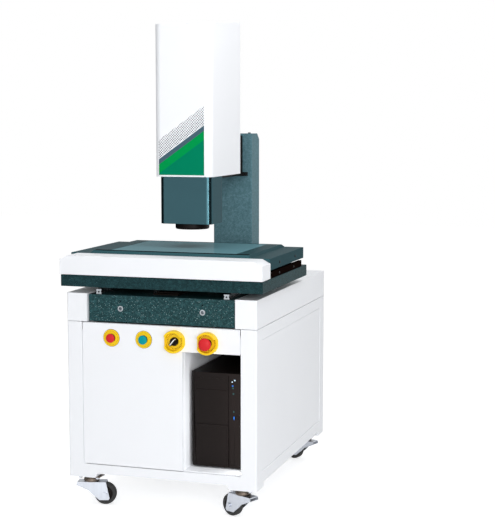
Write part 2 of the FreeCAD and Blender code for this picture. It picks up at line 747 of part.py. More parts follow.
def caster_fork(x, d, trail):
    side = V(-trail.y, trail.x, 0)
    top = 2 * WHEEL_R + FORK_TOP
    foot = V(x, FRONT + d, 0)
    hub = TRAIL
    low = WHEEL_R - 22
    outline = [(-49, top), (-53, top - 12), (hub - 59, WHEEL_R + 13), (hub - 45, WHEEL_R - 1)]
    outline += [(hub - 20, low), (hub + 12, low), (hub + 17, low + 6), (hub + 4, top)]
    gap = WHEEL_W / 2 + FORK_GAP
    legs = []
    for s in (-1, 1):
        start = foot + side * (s * gap)
        legs.append(prism(outline, start, trail, V(0, 0, 1), side * (s * FORK_T)))
    crown_line = [(-49, top - 3.5), (hub + 4, top - 3.5), (hub + 4, top), (-49, top)]
    crown = prism(crown_line, foot - side * (gap + 0.5), trail, V(0, 0, 1), side * (2 * gap + 1))
    fork = fuse(legs + [crown])
    fork = fork.cut(Part.makeCylinder(PIN_HALF + 0.3, 20, foot + V(0, 0, top - 10), V(0, 0, 1)))
    axle = foot + trail * TRAIL + V(0, 0, WHEEL_R)
    shaft = Part.makeCylinder(AXLE_R, 2 * (gap + FORK_T), axle - side * (gap + FORK_T), side)
    fork = fork.fuse(shaft)
    for s in (-1, 1):
        fork = fork.fuse(Part.makeCylinder(AXLE_R + 3, 6, axle + side * (s * (gap + FORK_T - 0.5)),
            side * s))
    return fork.removeSplitter()


def caster_wheel(x, d, trail):
    side = V(-trail.y, trail.x, 0)
    axle = V(x, FRONT + d, WHEEL_R) + trail * TRAIL
    half = WHEEL_W / 2
    r = WHEEL_R
    rim = r - TYRE_T
    tyre = [(rim, -half + 2), (r - 6, -half), (r - 2, -half + 2.5), (r, -half + 7)]
    tyre += [(r, half - 7), (r - 2, half - 2.5), (r - 6, half), (rim, half - 2)]
    bore = AXLE_R + 0.05
    hub = [(bore, -half - 2), (12, -half - 2), (14, -half + 3), (rim - 4, -half + 4), (rim, -half + 2)]
    hub += [(rim, half - 2), (rim - 4, half - 4), (14, half - 3), (12, half + 2), (bore, half + 2)]
    solids = []
    for points in (tyre, hub):
        corners = [axle + trail * p[0] + side * p[1] for p in points]
        wire = Part.makePolygon(corners + [corners[0]])
        solids.append(Part.Face(wire).revolve(axle, side, 360))
    return solids


# Granite and guides
def granite_base():
    base = mid_box(BASE_W, BASE_SETBACK, BASE_BACK, BASE_BOTTOM, BASE_TOP)
    for x in (-INSERT_X, INSERT_X):
        base = base.cut(rod(x, BASE_SETBACK - 1, INSERT_Z, V(0, 1, 0), INSERT_R, INSERT_L + 1))
        base = base.cut(rod(x, BASE_BACK - INSERT_L, INSERT_Z, V(0, 1, 0), INSERT_R, INSERT_L + 1))
        base = base.cut(rod(x, BASE_SETBACK - 1, INSERT_Z + 25, V(0, 1, 0), PIN_R, 13))
    return base


def base_inserts():
    rings = []
    for x in (-INSERT_X, INSERT_X):
        for start in (BASE_SETBACK, BASE_BACK - INSERT_L):
            ring = rod(x, start, INSERT_Z, V(0, 1, 0), INSERT_R, INSERT_L)
            mouth = start - 1 if start < 100 else start + 6
            rings.append(ring.cut(rod(x, mouth, INSERT_Z, V(0, 1, 0), INSERT_BORE, INSERT_L - 5)))
    return rings


def base_isolators():
    mounts = []
    r = ISOLATOR_R
    for x in (-ISOLATOR_X, ISOLATOR_X):
        for d in (BASE_SETBACK + ISOLATOR_IN, BASE_BACK - ISOLATOR_IN):
            high = BASE_BOTTOM - DECK_TOP
            points = [(0, 0), (r, 0), (r, 5), (r - 5, 9), (r - 5, high - 7), (r, high - 4), (r, high),
                (0, high)]
            mounts.append(lathe(points, V(x, FRONT + d, DECK_TOP), V(0, 0, 1)))
    return mounts


def rail_side(grow):
    w = RAIL_W / 2 + grow
    waist = w - RAIL_WAIST
    return [(w, RAIL_FOOT), (waist, RAIL_WAIST_LOW), (waist, RAIL_WAIST_HIGH), (w, RAIL_HEAD),
        (w, RAIL_H + grow)]


def rail_profile():
    right = [(RAIL_W / 2, 0)] + rail_side(0)
    left = [(-p[0], p[1]) for p in reversed(right)]
    return right + left


def guide_block(origin, across, up, along, stack, length):
    b = BLOCK_W / 2
    outline = [(b, BLOCK_LIFT), (b, stack), (-b, stack), (-b, BLOCK_LIFT)]
    body = prism(outline, origin, across, up, along * length)
    hollow = [(RAIL_W / 2 + BLOCK_GAP, BLOCK_LIFT - 1)] + rail_side(BLOCK_GAP)
    hollow += [(-p[0], p[1]) for p in reversed(hollow)]
    channel = prism(hollow, origin - along, across, up, along * (length + 2))
    return body.cut(channel)


def rail(origin, across, up, along, length):
    return prism(rail_profile(), origin, across, up, along * length)


def column():
    back = BASE_BACK - 2
    post = mid_box(COL_W, COL_FRONT, back, BASE_TOP, COL_TOP)
    post = post.makeChamfer(COL_BREAK, upright_edges(post, lambda x: True, lambda d: True))
    slope = [(back - COL_SLOPE_D, COL_TOP + 1), (back + 1, COL_TOP + 1),
        (back + 1, COL_TOP - COL_SLOPE_H - 1)]
    slope += [(back, COL_TOP - COL_SLOPE_H), (back - COL_SLOPE_D, COL_TOP)]
    post = post.cut(prism(slope, V(-COL_W, FRONT, 0), V(0, 1, 0), V(0, 0, 1), V(2 * COL_W, 0, 0)))
    return drill_column_screws(post)


def head_arm():
    near = ARM_PLATE_D
    far = ARM_PLATE_D + ARM_PLATE_T
    face = COL_FRONT - ARM_FLANGE_T
    plate = mid_box(ARM_PLATE_W, near, far, HEAD_BOTTOM + 2, ARM_PLATE_TOP)
    web_line = [(far - 11, ARM_BOTTOM), (COL_FRONT - 1, ARM_BOTTOM), (COL_FRONT - 1, ARM_TOP),
        (far - 11, ARM_TOP)]
    web = prism(web_line, V(-ARM_WEB / 2, FRONT, 0), V(0, 1, 0), V(0, 0, 1), V(ARM_WEB, 0, 0))
    foot = mid_box(ARM_FOOT_W, face, COL_FRONT, ARM_BOTTOM, ARM_BOTTOM + ARM_FOOT_H)
    flange = mid_box(ARM_FLANGE_W, face, COL_FRONT, ARM_BOTTOM + 1, ARM_FLANGE_TOP)
    return drill_column_screws(fuse([plate, web, foot, flange]))


def arm_bolts():
    return [socket_screw(x, d, z, axis, SCREW_HEAD_R, head, SCREW_SHANK_R, SCREW_SHANK_L)
        for x, d, z, axis, head in column_screw_places()]


def above_roof(lower):
    peak = HEAD_TOP + HEAD_RISE - lower
    run = [(HEAD_FRONT - 1, HEAD_TOP - lower), (HEAD_FRONT, HEAD_TOP - lower), (HEAD_BACK, peak),
        (HEAD_BACK + 1, peak)]
    run += [(HEAD_BACK + 1, peak + HEAD_RISE + 9), (HEAD_FRONT - 1, peak + HEAD_RISE + 9)]
    return prism(run, V(-HEAD_W, FRONT, 0), V(0, 1, 0), V(0, 0, 1), V(2 * HEAD_W, 0, 0))


def head_cover():
    half = HEAD_W / 2
    t = HEAD_T
    high = HEAD_TOP + HEAD_RISE + 5
    outer = rounded_box(-half, half, HEAD_FRONT, HEAD_BACK, HEAD_BOTTOM, high, HEAD_R, HEAD_BACK_R)
    inner = rounded_box(-half + t, half - t, HEAD_FRONT + t, HEAD_BACK - t, HEAD_BOTTOM - 1, high,
        HEAD_R - t, HEAD_BACK_R - t)
    shell = outer.cut(above_roof(0)).cut(inner.cut(above_roof(t)))
    window = mid_box(ARM_WEB + 16, HEAD_BACK - 10, HEAD_BACK + 5, HEAD_BOTTOM - 2, ARM_TOP + 8)
    shell = shell.cut(window)
    brackets = []
    for sx in (-1, 1):
        x0, x1 = sorted((sx * ARM_PLATE_W / 2, sx * (half - 1)))
        for z in (ARM_FLANGE_TOP + 40, ARM_PLATE_TOP - 60):
            brackets.append(box(x0, x1, ARM_PLATE_D + 2, ARM_PLATE_D + 16, z, z + 30))
    return fuse([shell] + brackets)


def z_rails():
    rails = []
    for sx in (-1, 1):
        start = V(sx * Z_RAIL_X, FRONT + ARM_PLATE_D, Z_RAIL_LOW)
        rails.append(rail(start, V(1, 0, 0), V(0, -1, 0), V(0, 0, 1), Z_RAIL_L))
    return rails


def z_blocks():
    blocks = []
    for sx in (-1, 1):
        for z in Z_BLOCK_Z:
            start = V(sx * Z_RAIL_X, FRONT + ARM_PLATE_D, z)
            blocks.append(guide_block(start, V(1, 0, 0), V(0, -1, 0), V(0, 0, 1), Z_STACK, Z_BLOCK_L))
    return blocks


def z_supports():
    holders = []
    axis_d = ARM_PLATE_D - SCREW_OUT
    for z in SUPPORT_Z:
        holder = mid_box(SUPPORT_W, ARM_PLATE_D - SUPPORT_OUT, ARM_PLATE_D, z, z + SUPPORT_H)
        holders.append(holder.cut(rod(0, axis_d, z - 1, V(0, 0, 1), SCREW_R + 0.05, SUPPORT_H + 4)))
    return holders


def z_screw():
    axis_d = ARM_PLATE_D - SCREW_OUT
    shaft = rod(0, axis_d, SCREW_LOW, V(0, 0, 1), SCREW_R, SCREW_L)
    coupling = rod(0, axis_d, SCREW_LOW + SCREW_L - COUPLING_L - 2, V(0, 0, 1), COUPLING_R, COUPLING_L)
    return fuse([shaft, coupling])


def z_motor():
    low = SCREW_LOW + SCREW_L + 0.4
    return mid_box(MOTOR_W, ARM_PLATE_D - MOTOR_D, ARM_PLATE_D, low, low + MOTOR_H)


def z_carriage():
    face = ARM_PLATE_D - Z_STACK
    near = face - CARRIAGE_T
    plate = mid_box(CARRIAGE_W, near, face, CARRIAGE_Z[0], CARRIAGE_Z[1])
    nut = mid_box(NUT_W, face - 2, ARM_PLATE_D - NUT_GAP, NUT_Z[0], NUT_Z[1])
    bore = rod(0, ARM_PLATE_D - SCREW_OUT, NUT_Z[0] - 1, V(0, 0, 1), SCREW_R + 0.3,
        NUT_Z[1] - NUT_Z[0] + 2)
    neck = mid_box(NECK_W, CAM_BACK, near + 1, NECK_Z[0], NECK_Z[1])
    core = mid_box(NECK_W - 2 * NECK_T, CAM_BACK - 1, near + 2, NECK_Z[0] + NECK_T, NECK_Z[1] - NECK_T)
    return fuse([plate, nut.cut(bore), neck.cut(core)])


def camera_housing():
    half = CAM_W / 2
    outer = rounded_box(-half, half, CAM_FRONT, CAM_BACK, CAM_BOTTOM, CAM_TOP, CAM_R, 4.0)
    t = CAM_T
    inner = rounded_box(-half + t, half - t, CAM_FRONT + t, CAM_BACK - t, CAM_BOTTOM + t, CAM_TOP - t,
        CAM_R - t, 2.0)
    hole = rod(0, LENS_Y, CAM_BOTTOM - 1, V(0, 0, 1), LENS_R, CAM_T + 4)
    return cut(outer, [inner, hole])


def ring_light():
    low = CAM_BOTTOM - RING_H
    r = RING_R
    b = RING_BORE
    points = [(b, low + 3), (b + 5, low), (r - 7, low), (r - 2, low + 2.5), (r, low + 8), (r, CAM_BOTTOM),
        (b, CAM_BOTTOM)]
    ring = lathe(points, V(0, FRONT + LENS_Y, 0), V(0, 0, 1))
    for k in range(LED_COUNT):
        a = math.tau * k / LED_COUNT
        x, y = LED_RING * math.cos(a), LED_RING * math.sin(a)
        ring = ring.cut(rod(x, LENS_Y + y, low - 1, V(0, 0, 1), LED_R, 3))
    return ring


def lens_barrel():
    low = CAM_BOTTOM - RING_H + 4
    shelf = CAM_BOTTOM + CAM_T + 8
    bore = LENS_BORE
    points = [(bore, low), (LENS_R - 3, low), (LENS_R, low + 6), (LENS_R, shelf), (LENS_R + 3, shelf)]
    points += [(LENS_R + 3, LENS_STEP_Z), (LENS_R - 3, LENS_STEP_Z + LENS_TAPER), (LENS_R - 3, LENS_TOP),
        (bore, LENS_TOP)]
    barrel = lathe(points, V(0, FRONT + LENS_Y, 0), V(0, 0, 1))
    half = SENSOR_W / 2
    sensor = mid_box(SENSOR_W, LENS_Y - half, LENS_Y + half, LENS_TOP, LENS_TOP + SENSOR_H)
    rest = mid_box(SENSOR_W + 10, LENS_Y + half - 5, CAM_BACK - CAM_T, LENS_TOP + 5,
        LENS_TOP + SENSOR_H - 10)
    return fuse([barrel, sensor, rest])


def lens_glass():
    low = CAM_BOTTOM - RING_H + 6
    r = LENS_BORE
    points = [(0, low - 1.6), (r / 2, low - 1.0), (r, low + 0.6), (r, low + 5), (0, low + 5)]
    return lathe(points, V(0, FRONT + LENS_Y, 0), V(0, 0, 1))


# Moving table
def pole_places(start, end):
    room = end - start - 2 * MAGNET_EDGE
    count = int((room + POLE_PITCH - POLE_L) // POLE_PITCH)
    first = (start + end - count * POLE_PITCH + POLE_PITCH - POLE_L) / 2.0
    return [first + k * POLE_PITCH for k in range(count)]


def y_rails():
    start = BASE_SETBACK + Y_RAIL_IN
    length = COL_FRONT - Y_RAIL_END - start
    return [rail(V(sx * Y_RAIL_X, FRONT + start, BASE_TOP), V(1, 0, 0), V(0, 0, 1), V(0, 1, 0), length)
        for sx in (-1, 1)]


def y_blocks():
    blocks = []
    for sx in (-1, 1):
        for d in Y_BLOCK_D:
            start = V(sx * Y_RAIL_X, FRONT + d, BASE_TOP)
            blocks.append(guide_block(start, V(1, 0, 0), V(0, 0, 1), V(0, 1, 0), Y_STACK, Y_BLOCK_L))
    return blocks


def y_magnets():
    start, end = Y_MAGNET_IN, COL_FRONT - Y_RAIL_END
    top = BASE_TOP + MAGNET_T
    parts = [mid_box(Y_MAGNET_W, start, end, BASE_TOP, top)]
    for d in pole_places(start, end):
        parts.append(mid_box(Y_MAGNET_W - 10, d, d + POLE_L, top - 0.5, top + POLE_T))
    return fuse(parts)


def y_coil():
    low = BASE_TOP + MAGNET_T + POLE_T + MAGNET_GAP
    return mid_box(Y_MAGNET_W - 2 * COIL_IN, Y_COIL_D[0], Y_COIL_D[1], low, SLAB_BOTTOM)


def y_slab():
    slab = mid_box(TABLE_W, SLAB_FRONT, SLAB_BACK, SLAB_BOTTOM, SLAB_TOP)
    return slab.makeChamfer(1.2, slab.Edges)


def x_rails():
    length = TABLE_W - 2 * X_RAIL_IN
    return [rail(V(-length / 2, FRONT + d, SLAB_TOP), V(0, 1, 0), V(0, 0, 1), V(1, 0, 0), length)
        for d in X_RAIL_D]


def x_blocks():
    blocks = []
    for d in X_RAIL_D:
        for x in X_BLOCK_X:
            start = V(x, FRONT + d, SLAB_TOP)
            blocks.append(guide_block(start, V(0, 1, 0), V(0, 0, 1), V(1, 0, 0), X_STACK, X_BLOCK_L))
    return blocks


def x_end_plates():
    plates = []
    for sx in (-1, 1):
        x0, x1 = sorted((sx * (TABLE_W / 2 - END_IN - END_T), sx * (TABLE_W / 2 - END_IN)))
        plates.append(box(x0, x1, END_D[0], END_D[1], SLAB_TOP, SLAB_TOP + END_H))
    return plates


def x_magnets():
    reach = TABLE_W / 2 - END_IN - END_T - 7.0
    half = X_MAGNET_W / 2
    top = SLAB_TOP + MAGNET_T
    near, far = X_MAGNET_D - half, X_MAGNET_D + half
    parts = [box(-reach, reach, near, far, SLAB_TOP, top)]
    for x in pole_places(-reach, reach):
        parts.append(box(x, x + POLE_L, near + 4, far - 4, top - 0.5, top + POLE_T))
    return fuse(parts)


def x_coil():
    low = SLAB_TOP + MAGNET_T + POLE_T + MAGNET_GAP
    half = X_MAGNET_W / 2 - COIL_IN
    return mid_box(X_COIL_L, X_MAGNET_D - half, X_MAGNET_D + half, low, PLATE_BOTTOM)


def x_plate():
    plate = mid_box(TABLE_W, PLATE_FRONT, PLATE_BACK, PLATE_BOTTOM, PLATE_TOP)
    plate = plate.makeChamfer(1.0, plate.Edges)
    centre = glass_centre()
    inset = GLASS_REST + 8
    light = mid_box(GLASS_W - 2 * inset, centre - GLASS_D / 2 + inset, centre + GLASS_D / 2 - inset,
        PLATE_BOTTOM + LIGHT_FLOOR, PLATE_TOP + 1)
    plate = plate.cut(light)
    for sx in (-1, 1):
        for d in SIDE_SCREW_D:
            x0 = sx * TABLE_W / 2 - (12 if sx > 0 else 0)
            plate = plate.cut(rod(x0, d, PLATE_BOTTOM + SIDE_SCREW_Z, V(1, 0, 0), SIDE_SCREW_R, 12))
    return plate


def plate_screws():
    screws = []
    for sx in (-1, 1):
        for d in SIDE_SCREW_D:
            screws.append(socket_screw(sx * TABLE_W / 2, d, PLATE_BOTTOM + SIDE_SCREW_Z, V(sx, 0, 0),
                SIDE_SCREW_R + 2, 1.5, SIDE_SCREW_R, 11))
    return screws


def glass_centre():
    return (PLATE_FRONT + PLATE_BACK) / 2.0 + GLASS_BACK


def glass_frame():
    half = GLASS_FRAME_W / 2
    d0, d1 = PLATE_FRONT + FRAME_IN, PLATE_BACK - FRAME_IN
    low, high = PLATE_TOP, FRAME_TOP
    b = GLASS_FRAME_H
    bottom = [V(-half, FRONT + d0, low), V(half, FRONT + d0, low), V(half, FRONT + d1, low),
        V(-half, FRONT + d1, low)]
    top = [V(-half + b, FRONT + d0 + b, high), V(half - b, FRONT + d0 + b, high)]
    top += [V(half - b, FRONT + d1 - b, high), V(-half + b, FRONT + d1 - b, high)]
    wires = [Part.makePolygon(ring + [ring[0]]) for ring in (bottom, top)]
    frame = Part.makeLoft(wires, True, True)
    c = glass_centre()
    seat = mid_box(GLASS_W, c - GLASS_D / 2, c + GLASS_D / 2, high - GLASS_T - 0.6, high + 1)
    r = GLASS_REST
    light = mid_box(GLASS_W - 2 * r, c - GLASS_D / 2 + r, c + GLASS_D / 2 - r, low - 1, high + 1)
    return cut(frame, [seat, light])


def stage_glass():
    c = glass_centre()
    half = GLASS_W / 2 - GLASS_GAP
    d0, d1 = c - GLASS_D / 2 + GLASS_GAP, c + GLASS_D / 2 - GLASS_GAP
    return box(-half, half, d0, d1, FRAME_TOP - GLASS_T - 0.6, FRAME_TOP - 0.6)


def backlight():
    c = glass_centre()
    inset = GLASS_REST + 9
    floor = PLATE_BOTTOM + LIGHT_FLOOR
    return mid_box(GLASS_W - 2 * inset, c - GLASS_D / 2 + inset, c + GLASS_D / 2 - inset, floor,
        floor + LIGHT_T)


def stage_apron():
    half = TABLE_W / 2 + 1
    low = SLAB_TOP + 2
    high = PLATE_TOP - 1
    d0, d1 = APRON_FRONT, PLATE_FRONT
    cx, cz = APRON_CUT_X, APRON_CUT_Z
    outline = [(-half, low), (half, low), (half, high - cz), (half - cx, high), (-half + cx, high),
        (-half, high - cz)]
    body = prism(outline, V(0, FRONT + d0, 0), V(1, 0, 0), V(0, 0, 1), V(0, d1 - d0, 0))
    t = APRON_T
    inner = [(-half + t, low - 1), (half - t, low - 1), (half - t, high - cz - 1),
        (half - cx - 1, high - t)]
    inner += [(-half + cx + 1, high - t), (-half + t, high - cz - 1)]
    hollow = prism(inner, V(0, FRONT + d0 + t, 0), V(1, 0, 0), V(0, 0, 1), V(0, d1 - d0, 0))
    ribs = []
    rib = TABLE_W / 2 - RIB_IN
    for x in (-rib, 0, rib):
        ribs.append(box(x - RIB_T / 2, x + RIB_T / 2, d0 + 1, d1, PLATE_BOTTOM + 4, high - 1))
    return fuse([body.cut(hollow)] + ribs)


def main():
    os.makedirs("parts", exist_ok=True)
    save("cabinet_frame", cabinet_frame())
    save("front_panel", front_panel())
    save("side_panels", side_panels())
    save("back_panel", back_panel())
    save("rim_covers", [rim_side(-1), rim_side(1), rim_back()])
    save("bay_liner", bay_liner())
    save("computer_case", computer_case())
    save("computer_front", computer_front())
    save("computer_button", computer_button())
    save("legend_discs", legend_discs())
    save("switch_guards", [switch_guard(x) for x in CONTROL_X[2:]])
    lifts = (1.5, 1.5, 2.0, 2.0)
    save("switch_bodies", [switch_body(x, lift) for x, lift in zip(CONTROL_X, lifts)])
    save("red_button", button_cap(CONTROL_X[0]))
    save("green_button", button_cap(CONTROL_X[1]))
    save("selector_knob", selector_knob())
    save("emergency_stop", emergency_stop())
    plates = []
    bolts = []
    for x, d in caster_bolt_places():
        bolts.append(caster_bolt(x, d))
    for name, x, d, trail in caster_places():
        plates.append(caster_plate(x, d))
        save("caster_fork_" + name, caster_fork(x, d, trail))
        save("caster_wheel_" + name, caster_wheel(x, d, trail))
    save("caster_plates", plates)
    save("caster_bolts", bolts)
    save("granite_base", granite_base())
    save("base_inserts", base_inserts())
    save("base_isolators", base_isolators())
    save("column", column())
    save("head_arm", head_arm())
    save("arm_bolts", arm_bolts())
    save("head_cover", head_cover())
    save("z_rails", z_rails())
    save("z_supports", z_supports())
    save("z_screw", z_screw())
    save("z_motor", z_motor())
    save("z_blocks", z_blocks())
    save("z_carriage", z_carriage())
    save("camera_housing", camera_housing())
    save("ring_light", ring_light())
    save("lens_barrel", lens_barrel())
    save("lens_glass", lens_glass())
    save("y_rails", y_rails())
    save("y_magnets", y_magnets())
    save("y_coil", y_coil())
    save("y_blocks", y_blocks())
    save("y_slab", y_slab())
    save("x_rails", x_rails())
    save("x_magnets", x_magnets())
    save("x_end_plates", x_end_plates())
    save("x_coil", x_coil())
    save("x_blocks", x_blocks())
    save("x_plate", x_plate())
    save("plate_screws", plate_screws())
    save("glass_frame", glass_frame())
    save("stage_glass", stage_glass())
    save("backlight", backlight())
    save("stage_apron", stage_apron())


main()
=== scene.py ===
"""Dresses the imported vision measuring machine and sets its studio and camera."""

import json
import logging
import math
from dataclasses import dataclass
from enum import Enum
from typing import Optional, Sequence

import bmesh
import bpy
from mathutils import Matrix, Vector

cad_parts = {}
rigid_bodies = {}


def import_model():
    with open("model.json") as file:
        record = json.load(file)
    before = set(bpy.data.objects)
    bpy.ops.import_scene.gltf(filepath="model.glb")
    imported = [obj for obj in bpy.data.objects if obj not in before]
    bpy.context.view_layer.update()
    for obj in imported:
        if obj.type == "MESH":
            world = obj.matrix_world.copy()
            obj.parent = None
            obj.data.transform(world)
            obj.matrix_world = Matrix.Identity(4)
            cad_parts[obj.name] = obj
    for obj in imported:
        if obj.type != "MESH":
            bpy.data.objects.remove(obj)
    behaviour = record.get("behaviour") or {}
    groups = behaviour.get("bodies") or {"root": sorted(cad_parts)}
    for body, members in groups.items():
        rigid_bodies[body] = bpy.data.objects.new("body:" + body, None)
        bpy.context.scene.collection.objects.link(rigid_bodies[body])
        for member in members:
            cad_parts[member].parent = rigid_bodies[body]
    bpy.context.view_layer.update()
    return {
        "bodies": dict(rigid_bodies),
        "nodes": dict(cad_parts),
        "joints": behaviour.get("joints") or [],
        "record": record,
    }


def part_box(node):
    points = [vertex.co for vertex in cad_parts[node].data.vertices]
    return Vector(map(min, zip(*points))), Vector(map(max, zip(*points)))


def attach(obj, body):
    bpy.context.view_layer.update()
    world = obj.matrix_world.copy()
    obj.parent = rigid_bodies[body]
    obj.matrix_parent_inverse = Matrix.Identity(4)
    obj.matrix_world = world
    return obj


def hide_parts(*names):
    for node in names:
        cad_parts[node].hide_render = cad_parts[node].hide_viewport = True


LOG = logging.getLogger("vision_measuring_machine")
MM = 0.001
# Points nearer to each other than this are one point, in metres.
SAME = 1e-6
# Rise over run of the stripes on the head's cover.
STRIPE_SLOPE = 0.705
WHITE_LIGHT = (1.0, 1.0, 1.0, 1.0)
Point2 = tuple[float, float]
Socket = bpy.types.NodeSocket
Tree = bpy.types.NodeTree


class Axis(Enum):
    """A row axis by its unit vector."""

    X = (1.0, 0.0, 0.0)
    Y = (0.0, 1.0, 0.0)
    Z = (0.0, 0.0, 1.0)

    @property
    def vector(self) -> Vector:
        """The axis as a vector."""
        return Vector(self.value)


class Body(Enum):
    """The bodies of the frame that pieces ride on."""

    MACHINE = "machine"
    Y_STAGE = "y_stage"
    X_STAGE = "x_stage"
    HEAD = "z_head"
    RED = "red_push"
    GREEN = "green_push"
    SELECTOR = "selector"
    STOP = "stop_push"


def linear(code: str) -> tuple[float, float, float, float]:
    """Turn an sRGB hex code into linear values by the sRGB curve.

    Args:
        code: Six hex digits.

    Returns:
        Linear red, green and blue, and an alpha of one.
    """
    values = [int(code[k : k + 2], 16) / 255.0 for k in (0, 2, 4)]
    red, green, blue = (v / 12.92 if v <= 0.04045 else ((v + 0.055) / 1.055) ** 2.4 for v in values)
    return (red, green, blue, 1.0)


def add_node(tree: Tree, kind: str, inputs: Optional[dict] = None, **settings: object) -> bpy.types.Node:
    """Add one shader node with its settings and links.

    Args:
        tree: The node tree that gets the node.
        kind: The node's type name without its common first part.
        inputs: Socket name or index against a value, or a socket to link from.
        **settings: Properties of the node itself.

    Returns:
        The new node.
    """
    made = tree.nodes.new("ShaderNode" + kind)
    for name, value in settings.items():
        setattr(made, name, value)
    for name, value in (inputs or {}).items():
        if isinstance(value, Socket):
            tree.links.new(value, made.inputs[name])
        else:
            made.inputs[name].default_value = value
    return made


def add_math(tree: Tree, operation: str, *values: object) -> Socket:
    """Add one step of arithmetic on numbers or sockets.

    Args:
        tree: The node tree that gets the step.
        operation: The step's name.
        *values: What it works on.

    Returns:
        The socket of its result.
    """
    return add_node(tree, "Math", dict(enumerate(values)), operation=operation).outputs[0]


def blank_material(name: str) -> bpy.types.Material:
    """Make a material with an empty node tree."""
    made = bpy.data.materials.new(name)
    made.use_nodes = True
    made.node_tree.nodes.clear()
    return made


def add_object(name: str, data: bpy.types.ID) -> bpy.types.Object:
    """Put an object that shows the given data into the scene."""
    made = bpy.data.objects.new(name, data)
    bpy.context.scene.collection.objects.link(made)
    return made


@dataclass
class Skin:
    """A material while it is built: its tree, its surface shader and its coordinates."""

    tree: Tree
    shader: bpy.types.Node
    place: Socket

    def noise(self, size_mm: float, detail: float) -> Socket:
        """Soft noise.

        Args:
            size_mm: About the size of its features.
            detail: How many finer layers it gets.

        Returns:
            Its value, from zero to one.
        """
        inputs = {"Vector": self.place, "Scale": 1.0 / (size_mm * MM), "Detail": detail}
        return add_node(self.tree, "TexNoise", inputs).outputs[0]

    def cells(self, size_mm: float, jumble: float = 1.0) -> bpy.types.Node:
        """Cells that each have a colour and a distance from their middle.

        Args:
            size_mm: About the size of a cell.
            jumble: How far the cells stray from even rows.

        Returns:
            The texture's node.
        """
        inputs = {"Vector": self.place, "Scale": 1.0 / (size_mm * MM), "Randomness": jumble}
        return add_node(self.tree, "TexVoronoi", inputs)

    def moved(self, **settings: Sequence[float]) -> "Skin":
        """The same material in other coordinates."""
        place = add_node(self.tree, "Mapping", {"Vector": self.place, **settings}).outputs[0]
        return Skin(self.tree, self.shader, place)

    def spread(self, value: Socket, low: float, high: float, start: float = 0.0, end: float = 1.0) -> Socket:
        """Map a value that runs from start to end onto low to high."""
        inputs = {"Value": value, "From Min": start, "From Max": end, "To Min": low, "To Max": high}
        return add_node(self.tree, "MapRange", inputs).outputs[0]

    def paint(self, share: Socket, first: object, second: object) -> None:
        """Mix two colours by a share into the base colour."""
        shade = add_node(self.tree, "Mix", {0: share, 6: first, 7: second}, data_type="RGBA")
        self.tree.links.new(shade.outputs[2], self.shader.inputs["Base Color"])

    def wear(self, value: Socket, low: float, high: float) -> None:
        """Vary the roughness between two levels."""
        self.tree.links.new(self.spread(value, low, high), self.shader.inputs["Roughness"])

    def lift(self, height: Socket, strength: float, relief_mm: float) -> None:
        """Raise a fine relief."""
        inputs = {"Strength": strength, "Distance": relief_mm * MM, "Height": height}
        bump = add_node(self.tree, "Bump", inputs)
        self.tree.links.new(bump.outputs[0], self.shader.inputs["Normal"])


@dataclass(frozen=True)
class Finish:
    """A plain surface finish that the patterned ones build on."""

    name: str
    slot: str
    base: str
    roughness: float = 0.5
    metallic: float = 0.0
    ior: float = 1.5
    specular: float = 0.5
    edge: float = 1.0
    coat: float = 0.0
    coat_roughness: float = 0.12
    grain_mm: float = 1.5
    relief_mm: float = 0.02
    drift_mm: float = 140.0
    tone: float = 0.04

    def material(self) -> bpy.types.Material:
        """Build the material of this finish once, and give the same one after that."""
        found = bpy.data.materials.get(self.name)
        if found is not None:
            return found
        made = blank_material(self.name)
        tree = made.node_tree
        place = add_node(tree, "TexCoord").outputs["Object"]
        levels = {
            "Metallic": self.metallic,
            "IOR": self.ior,
            "Specular IOR Level": self.specular,
            "Specular Tint": (self.edge, self.edge, self.edge, 1.0),
            "Coat Weight": self.coat,
            "Coat Roughness": self.coat_roughness,
        }
        shader = add_node(tree, "BsdfPrincipled", levels)
        self.dress(Skin(tree, shader, place))
        add_node(tree, "OutputMaterial", {"Surface": shader.outputs[0]})
        made.diffuse_color = linear(self.base)
        return made

    def shades(self) -> tuple[tuple, tuple]:
        """A darker and a lighter version of the base colour, as far off as the tone says."""
        *colour, alpha = linear(self.base)
        dark = tuple(v * (1.0 - self.tone) for v in colour) + (alpha,)
        light = tuple(min(1.0, v * (1.0 + self.tone)) for v in colour) + (alpha,)
        return dark, light

    def dress(self, skin: Skin) -> None:
        """Link colour, roughness and relief into the shader.

        Args:
            skin: The material while it is built.
        """
        skin.paint(skin.noise(self.drift_mm, 3.0), *self.shades())
        grain = skin.noise(self.grain_mm, 2.0)
        skin.wear(grain, self.roughness - 0.05, self.roughness + 0.05)
        skin.lift(grain, 0.35, self.relief_mm)


